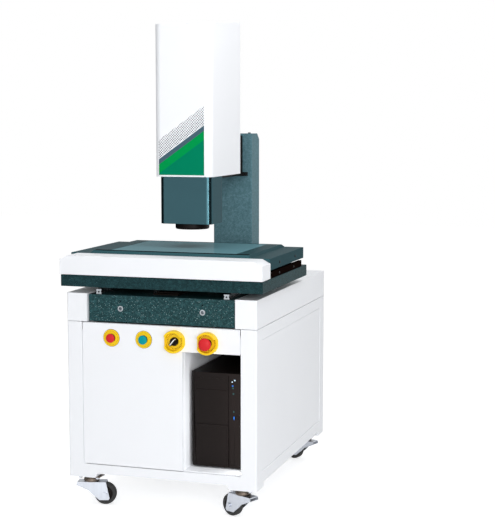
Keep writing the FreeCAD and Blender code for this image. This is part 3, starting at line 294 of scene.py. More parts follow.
@dataclass(frozen=True)
class PolishedGranite(Finish):
    """Lapped granite: close crystals of near tones with scattered bright flecks, drawn a little coarse to show."""

    dark: str = "163134"
    light: str = "32585C"
    fleck: str = "A9C4C6"
    fleck_mm: float = 3.2
    fleck_share: float = 0.3
    fleck_reach: float = 0.34
    cloud_mm: float = 9.0
    stops: tuple[float, float, float] = (0.40, 0.72, 1.05)

    def flecks(self, skin: Skin) -> Socket:
        """Small bright spots in some of the cells.

        Args:
            skin: The material while it is built.

        Returns:
            One where a fleck lies and zero elsewhere.
        """
        cells = skin.cells(self.fleck_mm).outputs
        chance = add_node(skin.tree, "SeparateColor", {"Color": cells["Color"]})
        size = skin.spread(chance.outputs[2], 0.0, self.fleck_reach, 1.0 - self.fleck_share)
        return add_math(skin.tree, "LESS_THAN", cells["Distance"], size)

    def dress(self, skin: Skin) -> None:
        """Mix crystal cells, soft clouds and bright flecks; see the base class."""
        split = add_node(skin.tree, "SeparateColor", {"Color": skin.cells(self.grain_mm).outputs["Color"]}).outputs
        level = add_math(skin.tree, "MULTIPLY_ADD", split[0], 0.5, skin.noise(self.cloud_mm, 5.0))
        ramp = add_node(skin.tree, "ValToRGB", {"Fac": level})
        low, middle, high = self.stops
        steps = ramp.color_ramp.elements
        steps[0].position = low
        steps[0].color = linear(self.dark)
        steps[1].position = high
        steps[1].color = linear(self.light)
        steps.new(middle).color = linear(self.base)
        skin.paint(self.flecks(skin), ramp.outputs["Color"], linear(self.fleck))
        skin.wear(split[1], self.roughness - 0.06, self.roughness + 0.08)
        skin.lift(level, 0.12, self.relief_mm)


@dataclass(frozen=True)
class GroundMetal(Finish):
    """Ground or brushed metal: fine lines along one axis that blur the highlight across them."""

    metallic: float = 1.0
    along: Axis = Axis.Y
    stretch: float = 0.03

    def dress(self, skin: Skin) -> None:
        """Stretch noise along the grinding direction; see the base class."""
        scale = [self.stretch if axis is self.along else 1.0 for axis in Axis]
        grain = skin.moved(Scale=scale).noise(self.grain_mm, 3.0)
        skin.paint(grain, *self.shades())
        skin.wear(grain, self.roughness - 0.08, self.roughness + 0.08)
        skin.lift(grain, 0.2, self.relief_mm)


@dataclass(frozen=True)
class ClearGlass(Finish):
    """Polished glass sheet or lens, tinted a little through its thickness."""

    drift_mm: float = 220.0
    through: float = 0.6

    def dress(self, skin: Skin) -> None:
        """Set the tint and let part of the light through; see the base class."""
        skin.paint(skin.noise(self.drift_mm, 1.0), *self.shades())
        skin.shader.inputs["Roughness"].default_value = self.roughness
        skin.shader.inputs["Transmission Weight"].default_value = self.through


@dataclass(frozen=True)
class PrintedDots(Finish):
    """Printed screen of grey dots on the white cover, growing towards the slate band."""

    dot: str = "39454B"
    pitch_mm: float = 6.7
    turn: float = 45.0
    fine_mm: float = 1370.0
    coarse_mm: float = 1300.0
    fine_size: float = 0.29
    coarse_size: float = 0.35

    def dress(self, skin: Skin) -> None:
        """Place dots on staggered rows and size them by height above the band; see the base class."""
        rows = skin.moved(Rotation=(0.0, math.radians(self.turn), 0.0), Scale=(1, 0, 1))
        parts = add_node(skin.tree, "SeparateXYZ", {"Vector": skin.place}).outputs
        run = add_math(skin.tree, "MULTIPLY", parts["X"], -STRIPE_SLOPE)
        height = add_math(skin.tree, "ADD", parts["Z"], run)
        size = skin.spread(height, self.coarse_size, self.fine_size, self.coarse_mm * MM, self.fine_mm * MM)
        distance = rows.cells(self.pitch_mm, 0.0).outputs["Distance"]
        inside = add_math(skin.tree, "LESS_THAN", distance, size)
        skin.paint(inside, linear(self.base), linear(self.dot))
        skin.shader.inputs["Roughness"].default_value = self.roughness


# Powder coat on sheet steel: a faint orange peel that softens the highlight.
WHITE = Finish(
    "powder_coat_white", "white_paint", "F4F6FA", roughness=0.42, coat=0.04, grain_mm=2.2, relief_mm=0.03, tone=0.01
)
# The bay's ceiling, back and right wall are drawn near black as painted shade of the deep bay; its left wall, floor
# and front edge stay white.
BAY_SHADE_BLACK = Finish("bay_black_painted_shade", "black_paint", "1A110F", roughness=0.7, specular=0.08, grain_mm=1.8, tone=0.1)
# Black base granite, drawn with 3 mm crystals because the real 1 to 2 mm ones would not show.
GRANITE = PolishedGranite("lapped_granite", "granite", "1E3D40", roughness=0.42, specular=0.1, grain_mm=3.0)
# The column is the base's granite drawn much paler, with fewer flecks: partly its ground faces, partly painted light.
COLUMN_STONE = PolishedGranite(
    "ground_granite_painted_light", "granite", "557780", roughness=0.46, specular=0.06, grain_mm=2.4, dark="4B6D75", light="648993",
    fleck="86A6AC", fleck_share=0.1,
)
# The moving slab is darker and closer grained, with a ground face.
SLAB = PolishedGranite(
    "ground_dark_granite", "slab_granite", "1B3437", specular=0.06, grain_mm=2.6, dark="142C30",
    light="25464A", fleck="4E7278", fleck_share=0.1,
)
# Anodised aluminium plate: matt, grey-green, with a very fine bead-blasted grain that dulls it edge on.
PLATE = Finish(
    "anodised_plate", "plate_metal", "315258", roughness=0.45, metallic=0.5, specular=0.03, edge=0.25, grain_mm=2.0,
    tone=0.06,
)
# Metallic stoving enamel on the camera housing: bright towards the lamps and dark edge on.
HOUSING = Finish(
    "stoved_enamel_grey", "housing_grey", "3D5D65", roughness=0.17, metallic=0.9, specular=0.03, edge=0.5,
    grain_mm=2.5, tone=0.05,
)
BLACK_PAINT = Finish("black_enamel", "black_paint", "1A1412", specular=0.12, tone=0.1)
BLACK_ABS = Finish(
    "moulded_black_abs", "black_plastic", "161110", roughness=0.45, specular=0.1, grain_mm=1.0, tone=0.08
)
YELLOW = Finish(
    "moulded_yellow_nylon", "yellow_plastic", "FBD20E", roughness=0.42, specular=0.3, coat=0.02, grain_mm=1.2,
    tone=0.03,
)
RED = Finish("moulded_red_nylon", "red_plastic", "D4282E", roughness=0.4, specular=0.15, grain_mm=1.2)
TEAL = Finish("moulded_teal_nylon", "teal_plastic", "00959D", roughness=0.4, specular=0.1, grain_mm=1.2)
PRINT = Finish("printed_brown", "black_plastic", "6A3612", specular=0.1, tone=0.02)
CREAM = Finish("pointer_white_plastic", "white_paint", "F4F4F0", roughness=0.4, tone=0.01)
RAIL_STEEL = GroundMetal("ground_bearing_steel", "ground_steel", "A9AEB3", roughness=0.28, grain_mm=0.8, tone=0.08)
ZINC = GroundMetal("zinc_plated_steel", "zinc_steel", "C2C6CE", roughness=0.36, grain_mm=3.0, tone=0.14, along=Axis.Z)
# The end plates are black, matt and all but free of highlights.
END_BLACK = Finish("matt_black_paint", "black_paint", "140C0A", roughness=0.6, specular=0.0, tone=0.1)
# Swivel plates and races are the forks' zinc drawn much darker and browner, as painted shade under the cabinet.
SHADED_ZINC = GroundMetal("zinc_darkened_painted_shade", "zinc_steel", "6A6058", grain_mm=3.0, tone=0.15)
BLACK_STEEL = GroundMetal("blackened_steel", "dark_steel", "2A2A2B", roughness=0.45, grain_mm=1.0, tone=0.1)
# The arm is cast iron under black paint, a little rough from the mould.
CAST_IRON = Finish(
    "painted_cast_iron", "cast_iron", "161718", roughness=0.6, specular=0.12, grain_mm=1.8, relief_mm=0.15, tone=0.08
)
# The magnet tracks under their resin coat are drawn near black to sink into the shade of the gap under the slab,
# partly painted shade.
MAGNETS = Finish("resin_magnets_painted_shade", "magnet_steel", "1A1513", roughness=0.55, specular=0.05, tone=0.1)
RESIN = Finish("cast_resin", "epoxy", "131314", specular=0.12)
TYRE = Finish(
    "tyre_rubber", "tyre_rubber", "0B0B0C", roughness=0.75, specular=0.15, grain_mm=1.6, relief_mm=0.08, tone=0.15
)
ISOLATOR = Finish("isolator_rubber", "isolator_rubber", "131314", roughness=0.8, specular=0.1, relief_mm=0.08)
# Table glass drawn nearly opaque teal with no edge-on sheen: partly the glass's own tint, partly a painted
# reflection.
TABLE_GLASS = ClearGlass(
    "float_glass_painted_reflection", "table_glass", "6C98A2", roughness=0.08, metallic=0.15, ior=1.45, specular=0.0,
    edge=0.0, through=0.06,
)
LENS = ClearGlass("coated_lens_glass", "lens_glass", "4A5570", roughness=0.02, ior=1.6, through=0.7, coat=0.6)
OPAL = Finish("opal_diffuser", "diffuser", "4F7076", roughness=0.6, tone=0.03)
DARK_GREEN = Finish("film_dark_green", "stripe_dark_green", "00805C", specular=0.02, grain_mm=2.0, tone=0.02)
GREEN = Finish("film_green", "stripe_green", "00964B", specular=0.02, grain_mm=2.0, tone=0.02)
SLATE = Finish("film_slate", "stripe_slate", "47616E", specular=0.04, grain_mm=2.0, tone=0.02)
DOTS = PrintedDots("film_dots", "white_paint", "F4F6FA", roughness=0.42)
BLUE_LIGHT = Finish("lit_blue_lens", "led_blue", "1F62B8", roughness=0.3, specular=0.2)
DIM_TEAL = Finish("teal_jack", "led_blue", "2F5A5C", roughness=0.4, specular=0.2)
PALE_LIGHT = Finish("pale_socket", "led_blue", "A9C4D6", roughness=0.3)


@dataclass
class Place:
    """Turns millimetres (right, back from the cabinet front, up) into the frame's metres."""

    front: float = 0.0

    def at(self, x: float, depth: float, z: float) -> Vector:
        """A point of the frame, in metres."""
        return Vector((x * MM, self.front + depth * MM, z * MM))


PLACE = Place()


class Shape:
    """One piece while it is modelled, in the frame's metres."""

    def __init__(self) -> None:
        """Start an empty piece."""
        self.bm = bmesh.new()

    def block(self, x: Point2, depth: Point2, z: Point2) -> list[bmesh.types.BMVert]:
        """Add a box.

        Args:
            x: Lowest and highest X in millimetres.
            depth: Nearest and farthest depth.
            z: Lowest and highest Z.

        Returns:
            The box's corners.
        """
        low = PLACE.at(x[0], depth[0], z[0])
        high = PLACE.at(x[1], depth[1], z[1])
        size = high - low
        matrix = Matrix.Translation((low + high) / 2) @ Matrix.Diagonal((*size, 1.0))
        return bmesh.ops.create_cube(self.bm, size=1.0, matrix=matrix)["verts"]

    def lathe(self, profile: Sequence[Point2], centre: Vector, axis: Vector, steps: int = 48) -> None:
        """Spin a profile once round an axis.

        Args:
            profile: Radius and distance along the axis, in millimetres.
            centre: Where the axis starts.
            axis: The axis' direction.
            steps: Facets round the turn.
        """
        side = axis.orthogonal().normalized()
        line = [self.bm.verts.new(centre + side * r * MM + axis * h * MM) for r, h in profile]
        edges = [self.bm.edges.new(pair) for pair in zip(line, line[1:])]
        bmesh.ops.spin(
            self.bm, geom=line + edges, cent=centre, axis=axis, angle=math.tau, steps=steps, use_merge=True
        )
        bmesh.ops.remove_doubles(self.bm, verts=self.bm.verts, dist=SAME)

    def round_edges(self, edges: Sequence[bmesh.types.BMEdge], width: float, steps: int = 2) -> None:
        """Round the given edges.

        Args:
            edges: The edges.
            width: Width of the rounding in millimetres.
            steps: Facets across it.
        """
        bmesh.ops.bevel(
            self.bm, geom=edges, offset=width * MM, offset_type="OFFSET", segments=steps, profile=0.5,
            affect="EDGES", clamp_overlap=True, material=-1,
        )

    def soften(self, width: float, sharper: float = 30.0) -> None:
        """Round the edges that are sharper than an angle.

        Args:
            width: Width of the rounding in millimetres.
            sharper: The least angle between the faces, in degrees.
        """
        limit = math.radians(sharper)
        chosen = [e for e in self.bm.edges if len(e.link_faces) == 2 and e.calc_face_angle(0.0) > limit]
        if chosen:
            self.round_edges(chosen, width)

    def from_node(self, node: str) -> "Shape":
        """Take a copy of a CAD node's solids, with its triangles merged into plain faces."""
        self.bm.from_mesh(FRAME["nodes"][node].data)
        verts, edges = self.bm.verts, self.bm.edges
        bmesh.ops.remove_doubles(self.bm, verts=verts, dist=SAME)
        flat = math.radians(0.5)
        bmesh.ops.dissolve_limit(self.bm, angle_limit=flat, verts=verts, edges=edges, use_dissolve_boundaries=False)
        return self

    def finish(
        self, name: str, body: str, finishes: Sequence[Finish], replaced: Sequence[str] = (), smooth: float = 32.0,
        outward: bool = True, wall: float = 0.0,
    ) -> bpy.types.Object:
        """Turn the piece into an object that rides on its body.

        Args:
            name: The object's name.
            body: The body that it rides on.
            finishes: Its finishes, in the order of its faces' material numbers.
            replaced: The CAD nodes that it stands for.
            smooth: Edges flatter than this many degrees are shaded smooth.
            outward: Recalculate the normals, which a copied node does not need.
            wall: Thickness in millimetres that an open skin gets towards its inside.

        Returns:
            The finished object.
        """
        if outward:
            bmesh.ops.recalc_face_normals(self.bm, faces=self.bm.faces)
        mesh = bpy.data.meshes.new(name)
        self.bm.to_mesh(mesh)
        self.bm.free()
        for finish in finishes:
            mesh.materials.append(finish.material())
        mesh.shade_smooth()
        mesh.set_sharp_from_angle(angle=math.radians(smooth))
        made = add_object(name, mesh)
        if wall:
            sheet = made.modifiers.new("sheet", "SOLIDIFY")
            sheet.thickness = wall * MM
            sheet.offset = -1.0
        even = made.modifiers.new("even_shading", "WEIGHTED_NORMAL")
        even.keep_sharp = True
        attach(made, body)
        if replaced:
            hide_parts(*replaced)
        LOG.info("%s: %d faces on %s", name, len(mesh.polygons), body)
        return made


FRAME: dict = {}


def node_body(node: str) -> str:
    """The body that carries a CAD node."""
    return next(body for body, nodes in FRAME["record"]["behaviour"]["bodies"].items() if node in nodes)


def dress_copy(node: str, finish: Finish, width: float, sharper: float = 35.0) -> bpy.types.Object:
    """Stand a softened copy of a CAD node in its place.

    Args:
        node: The CAD node.
        finish: Its finish.
        width: Rounding of its edges in millimetres.
        sharper: The least angle of an edge that is rounded, in degrees.

    Returns:
        The new object.
    """
    shape = Shape().from_node(node)
    shape.soften(width, sharper)
    return shape.finish(node + "_dressed", node_body(node), [finish], [node], outward=False)


def reach(node: str) -> tuple[Vector, Vector]:
    """The low and high corner of a CAD node: right, back from the cabinet front and up, in millimetres.

    Args:
        node: The CAD node.

    Returns:
        Its two corners.
    """
    shift = Vector((0.0, PLACE.front, 0.0))
    low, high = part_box(node)
    return (Vector(low) - shift) / MM, (Vector(high) - shift) / MM


@dataclass
class Cabinet:
    """The white sheet-steel cabinet, its panels and rims."""

    copies: tuple[tuple[str, float], ...] = (
        ("cabinet_frame", 1.4), ("front_panel", 0.8), ("side_panels", 0.8), ("back_panel", 0.6), ("rim_covers", 1.6),
    )

    def build(self) -> None:
        """Dress the sheet metal and add its small hardware."""
        for node, width in self.copies:
            dress_copy(node, WHITE, width)
        self.liner()
        self.back_screws()
        dress_copy("base_isolators", ISOLATOR, 0.6)

    def liner(self) -> None:
        """The bay's liner: white on its left wall, floor and front edge, and near black elsewhere as painted shade of
        the deep bay.
        """
        low, high = reach("bay_liner")
        shape = Shape().from_node("bay_liner")
        shape.soften(0.4)
        # Faces off the left wall, floor and front edge take the near black of painted shade.
        for face in shape.bm.faces:
            spot = face.calc_center_median()
            x, z = spot.x / MM, spot.z / MM
            left = x < low.x + 4.0 and face.normal.x > -0.5
            under = z < 200.0 and face.normal.z > 0.5
            near = spot.y < PLACE.at(0, low.y + 16.0, 0).y
            face.material_index = 0 if left or under or near else 1
        shape.finish("bay_liner_dressed", Body.MACHINE.value, [WHITE, BAY_SHADE_BLACK], ["bay_liner"], outward=False)

    def back_screws(self) -> None:
        """Six low-headed screws that hold the back panel."""
        depth = reach("back_panel")[1].y
        shape = Shape()
        for x in (-270.0, 0.0, 270.0):
            for z in (185.0, 611.0):
                head = [(0, 1.3), (3.2, 1.3), (4.6, 0.95), (4.8, 0.4), (4.8, 0), (0, 0)]
                shape.lathe(head, PLACE.at(x, depth - 0.1, z), Axis.Y.vector, 20)
        shape.finish("back_panel_screws", Body.MACHINE.value, [ZINC])


@dataclass
class Computer:
    """The black tower computer that stands in the bay."""

    strip_x: float = 57.0

    def build(self) -> None:
        """Dress the case and bezel, then add its ports and lights."""
        dress_copy("computer_case", BLACK_PAINT, 0.8)
        dress_copy("computer_front", BLACK_ABS, 0.9)
        dress_copy("computer_button", BLACK_ABS, 0.3)
        low, high = reach("computer_front")
        strip = (low.x + high.x) / 2 + self.strip_x
        self.ports(strip, low.y)
        self.lights(strip, low.y)

    def ports(self, x: float, depth: float) -> None:
        """Two pale sockets and three small dim jacks in the control strip.

        Args:
            x: The strip's middle.
            depth: The front's depth.
        """
        shape = Shape()
        for dx, z in ((-0.5, 475.0), (9.0, 481.0)):
            shape.block((x + dx - 2.2, x + dx + 2.2), (depth - 0.6, depth + 0.2), (z - 2.0, z + 2.0))
        shape.finish("computer_ports", Body.MACHINE.value, [PALE_LIGHT])
        jacks = Shape()
        ring = [(0, 0.3), (1.6, 0.3), (1.6, -0.5), (2.4, -0.4), (2.6, 0.3)]
        for dx, z in ((1.5, 453.0), (3.0, 434.0), (4.5, 371.0)):
            jacks.lathe(ring, PLACE.at(x + dx, depth, z), Axis.Y.vector, 20)
        jacks.finish("computer_jacks", Body.MACHINE.value, [DIM_TEAL])

    def lights(self, x: float, depth: float) -> None:
        """The disk light and the taller power light.

        Args:
            x: The strip's middle.
            depth: The front's depth.
        """
        shape = Shape()
        for sides, z in (((x - 1.0, x + 3.2), (459.0, 464.0)), ((x + 4.0, x + 7.4), (344.0, 354.0))):
            shape.block(sides, (depth - 0.8, depth + 0.2), z)
        shape.soften(0.4)
        shape.finish("computer_lights", Body.MACHINE.value, [BLUE_LIGHT])


@dataclass
class Controls:
    """The four operator controls on the front panel."""

    z: float = 617.0
    xs: tuple[float, float, float, float] = (-181.0, -60.0, 55.0, 175.0)
    disc_r: float = 30.0
    cap_r: float = 16.0
    stop_r: float = 22.0
    stop_out: float = 44.0
    # For each control: depth of the printed face, radius to the ticks' middle, their length and their number.
    tick_rows: tuple[tuple[float, float, float, int], ...] = (
        (-1.6, 24.5, 2.2, 28), (-1.6, 24.5, 2.2, 28), (-2.0, 25.5, 4.6, 30), (-2.0, 27.0, 5.0, 30),
    )
    tick_half: float = 0.7
    pointer_turn: float = 40.0

    def build(self) -> None:
        """Build the legends, caps, guards, knob and emergency stop."""
        self.legends()
        self.ticks()
        self.cap("red_cap", self.xs[0], RED, Body.RED, "red_button")
        self.cap("teal_cap", self.xs[1], TEAL, Body.GREEN, "green_button")
        dress_copy("switch_guards", YELLOW, 1.3)
        dress_copy("switch_bodies", BLACK_ABS, 0.3)
        dress_copy("selector_knob", BLACK_ABS, 0.8)
        self.pointer()
        self.stop()

    def legends(self) -> None:
        """Yellow discs with a raised rim, each on a thin dark gasket."""
        shape, gasket = Shape(), Shape()
        for x in self.xs[:2]:
            r = self.disc_r
            profile = [(11.4, 0.0), (11.4, -1.6), (17.5, -1.6), (18.1, -1.2), (18.8, -1.2), (19.4, -1.6)]
            profile += [(r - 2.4, -1.6), (r - 1.6, -2.1), (r - 0.7, -2.0), (r - 0.1, -1.3), (r - 0.1, 0.0)]
            shape.lathe(profile, PLACE.at(x, 0, self.z), Axis.Y.vector, 96)
            band = [(r - 0.4, 0.0), (r - 0.4, -0.7), (r + 0.7, -0.7), (r + 0.9, -0.4), (r + 0.9, 0.0)]
            gasket.lathe(band, PLACE.at(x, 0, self.z), Axis.Y.vector, 96)
        shape.finish("legend_plates", Body.MACHINE.value, [YELLOW], ["legend_discs"])
        gasket.finish("legend_gaskets", Body.MACHINE.value, [BLACK_ABS])

    def ticks(self) -> None:
        """Plain printed ticks round the legends and on the floors of the guards."""
        shape = Shape()
        for x, (depth, middle, size, count) in zip(self.xs, self.tick_rows):
            sides, level = (x - self.tick_half, x + self.tick_half), self.z + middle
            for k in range(count):
                verts = shape.block(sides, (depth - 0.12, depth + 0.05), (level - size / 2, level + size / 2))
                turn = Matrix.Rotation(math.tau * (k + 0.5) / count, 3, "Y")
                bmesh.ops.rotate(shape.bm, verts=verts, cent=PLACE.at(x, 0, self.z), matrix=turn)
        shape.finish("control_ticks", Body.MACHINE.value, [PRINT])

    def cap(self, name: str, x: float, finish: Finish, body: Body, node: str) -> None:
        """Build a round pushbutton cap.

        Args:
            name: The piece's name.
            x: Its centre.
            finish: Its finish.
            body: Its body.
            node: The CAD node that it stands for.
        """
        r = self.cap_r
        profile = [(0, -17.0), (7.0, -16.85), (12.0, -16.2), (14.2, -15.2), (15.4, -13.8), (r, -12.0), (r, -10.1)]
        profile += [(15.6, -9.8), (8.6, -9.8), (8.6, 6.0), (0, 6.0)]
        shape = Shape()
        shape.lathe(profile, PLACE.at(x, 0, self.z), Axis.Y.vector, 64)
        shape.finish(name, body.value, [finish], [node])

    def pointer(self) -> None:
        """The white bar along the selector's grip."""
        x = self.xs[2]
        shape = Shape()
        verts = shape.block((x - 1.5, x + 1.5), (-30.4, -29.6), (self.z - 12.2, self.z + 12.6))
        verts += shape.block((x - 1.5, x + 1.5), (-30.4, -15.4), (self.z + 12.6, self.z + 13.9))
        turn = Matrix.Rotation(math.radians(self.pointer_turn), 3, "Y")
        bmesh.ops.rotate(shape.bm, verts=verts, cent=PLACE.at(x, 0, self.z), matrix=turn)
        shape.finish("selector_pointer", Body.SELECTOR.value, [CREAM])

    def stop(self) -> None:
        """The red mushroom head with its waist and stem."""
        tip = -self.stop_out
        r = self.stop_r
        profile = [(0, tip), (8, tip + 0.2), (13.5, tip + 1.1), (18, tip + 3.0), (20.8, tip + 5.4), (r, tip + 8.6)]
        profile += [(r, tip + 13.5), (21.2, tip + 15.8), (18.5, tip + 18.4), (16, tip + 21.5), (14.2, -14)]
        profile += [(13, -11.5), (8.6, -11.5), (8.6, 6), (0, 6)]
        shape = Shape()
        shape.lathe(profile, PLACE.at(self.xs[3], 0, self.z), Axis.Y.vector, 72)
        shape.finish("stop_mushroom", Body.STOP.value, [RED], ["emergency_stop"])


@dataclass
class Casters:
    """Four swivel casters with pressed forks and solid wheels."""

    names: tuple[str, ...] = ("fl", "fr", "rl", "rr")
    radius: float = 40.0
    half_width: float = 14.0

    def axle(self, name: str) -> tuple[Vector, Vector]:
        """The middle and the direction of a wheel's axle, from its joint in the record."""
        joints = FRAME["record"]["behaviour"]["joints"]
        turn = next(joint for joint in joints if joint["name"] == "roll_" + name)
        return Vector(turn["pos_m"]), Vector(turn["axis"]).normalized()

    def build(self) -> None:
        """Dress plates, bolts and forks, and model the wheels."""
        # The plates take the darker zinc of painted shade.
        dress_copy("caster_plates", SHADED_ZINC, 0.6)
        dress_copy("caster_bolts", ZINC, 0.5)
        for name in self.names:
            dress_copy("caster_fork_" + name, ZINC, 0.8)
            self.wheel(name, *self.axle(name))

    def wheel(self, name: str, centre: Vector, side: Vector) -> None:
        """Build a tyre with rounded shoulders and a dished hub.

        Args:
            name: The caster's short name.
            centre: The axle's middle.
            side: The axle's direction.
        """
        r = self.radius
        w = self.half_width
        tyre = Shape()
        profile = [(27, -w + 2), (r - 7, -w + 0.3), (r - 4, -w + 0.6), (r - 1.6, -w + 2.6), (r - 0.3, -w + 6), (r, 0)]
        profile += [(a, -b) for a, b in reversed(profile[:-1])]
        profile.append(profile[0])
        tyre.lathe(profile, centre, side, 72)
        tyre.finish("tyre_" + name, "wheel_" + name, [TYRE], ["caster_wheel_" + name])
        hub = Shape()
        face = [(5.1, -w - 2), (11.5, -w - 2), (12.2, -w - 1.4), (13.5, -w + 3), (22.5, -w + 4), (25, -w + 2)]
        face.append((27.05, -w + 2))
        face += [(a, -b) for a, b in reversed(face)]
        face.append(face[0])
        hub.lathe(face, centre, side, 48)
        hub.finish("hub_" + name, "wheel_" + name, [BLACK_ABS])


class GraniteFrame:
    """Granite base with its inserts, and the column with the arm."""

    def build(self) -> None:
        """Dress the stone and its steel."""
        dress_copy("granite_base", GRANITE, 1.6)
        # The column takes the paler stone, partly painted light.
        dress_copy("column", COLUMN_STONE, 1.4)
        dress_copy("base_inserts", RAIL_STEEL, 0.5)
        dress_copy("arm_bolts", BLACK_STEEL, 0.3)
        dress_copy("head_arm", CAST_IRON, 2.0)


@dataclass
class Table:
    """The moving table: rails, slab, plate, glass and white apron."""

    half: float = 371.0
    slab_top: float = 833.0
    strip_inset: float = 10.0
    end_screw_depths: Point2 = (205.0, 390.0)
    rail_x: float = 236.0

    def build(self) -> None:
        """Dress the table from the bottom up."""
        for kind, finish, width in (
            ("rails", RAIL_STEEL, 0.3), ("blocks", BLACK_STEEL, 0.5), ("magnets", MAGNETS, 0.3), ("coil", RESIN, 0.8)
        ):
            for axis in "yx":
                dress_copy(f"{axis}_{kind}", finish, width)
        for row in (
            ("y_slab", SLAB, 0.6), ("x_plate", PLATE, 0.8), ("x_end_plates", END_BLACK, 0.6),
            ("glass_frame", PLATE, 0.6), ("stage_glass", TABLE_GLASS, 0.5), ("backlight", OPAL, 0.5),
            ("plate_screws", BLACK_STEEL, 0.3), ("stage_apron", WHITE, 3.0),
        ):
            dress_copy(*row)
        self.front_strip()
        self.end_screws()
        self.rail_screws()

    def front_strip(self) -> None:
        """The matt black strip of the frame's top between its front bevel and the glass."""
        frame = reach("glass_frame")
        near = reach("stage_glass")[0].y - 1.5
        inset, top = self.strip_inset, frame[1].z
        shape = Shape()
        shape.block((frame[0].x + inset, frame[1].x - inset), (frame[0].y + inset, near), (top - 0.1, top + 0.15))
        shape.finish("frame_front_strip", Body.X_STAGE.value, [END_BLACK])

    def end_screws(self) -> None:
        """Small socket screws in the black end plates."""
        shape = Shape()
        head = [(0, 0.4), (1.6, 0.4), (1.6, 1.6), (3.6, 1.6), (4.1, 1.1), (4.1, -0.2), (0, -0.2)]
        for sx in (-1, 1):
            for depth in self.end_screw_depths:
                spot = PLACE.at(sx * (self.half - 3), depth, self.slab_top + 11.5)
                shape.lathe(head, spot, Vector((sx, 0, 0)), 24)
        shape.finish("end_plate_screws", Body.Y_STAGE.value, [BLACK_STEEL])

    def rail_screws(self) -> None:
        """Caps over the rail screws along the two Y rails, and a screw in each front end."""
        shape = Shape()
        cap = [(0, 0.15), (4.6, 0.15), (5.0, -0.1), (5.0, -1.0), (0, -1.0)]
        end = [(0, 1.4), (2.6, 1.4), (3.2, 0.8), (3.2, -0.4), (0, -0.4)]
        for x in (-self.rail_x, self.rail_x):
            for k in range(9):
                shape.lathe(cap, PLACE.at(x, 50.0 + 80.0 * k, 784.0), Axis.Z.vector, 20)
            shape.lathe(end, PLACE.at(x, 20.0, 774.5), Vector((0, -1, 0)), 20)
        shape.finish("rail_caps", Body.MACHINE.value, [BLACK_STEEL])


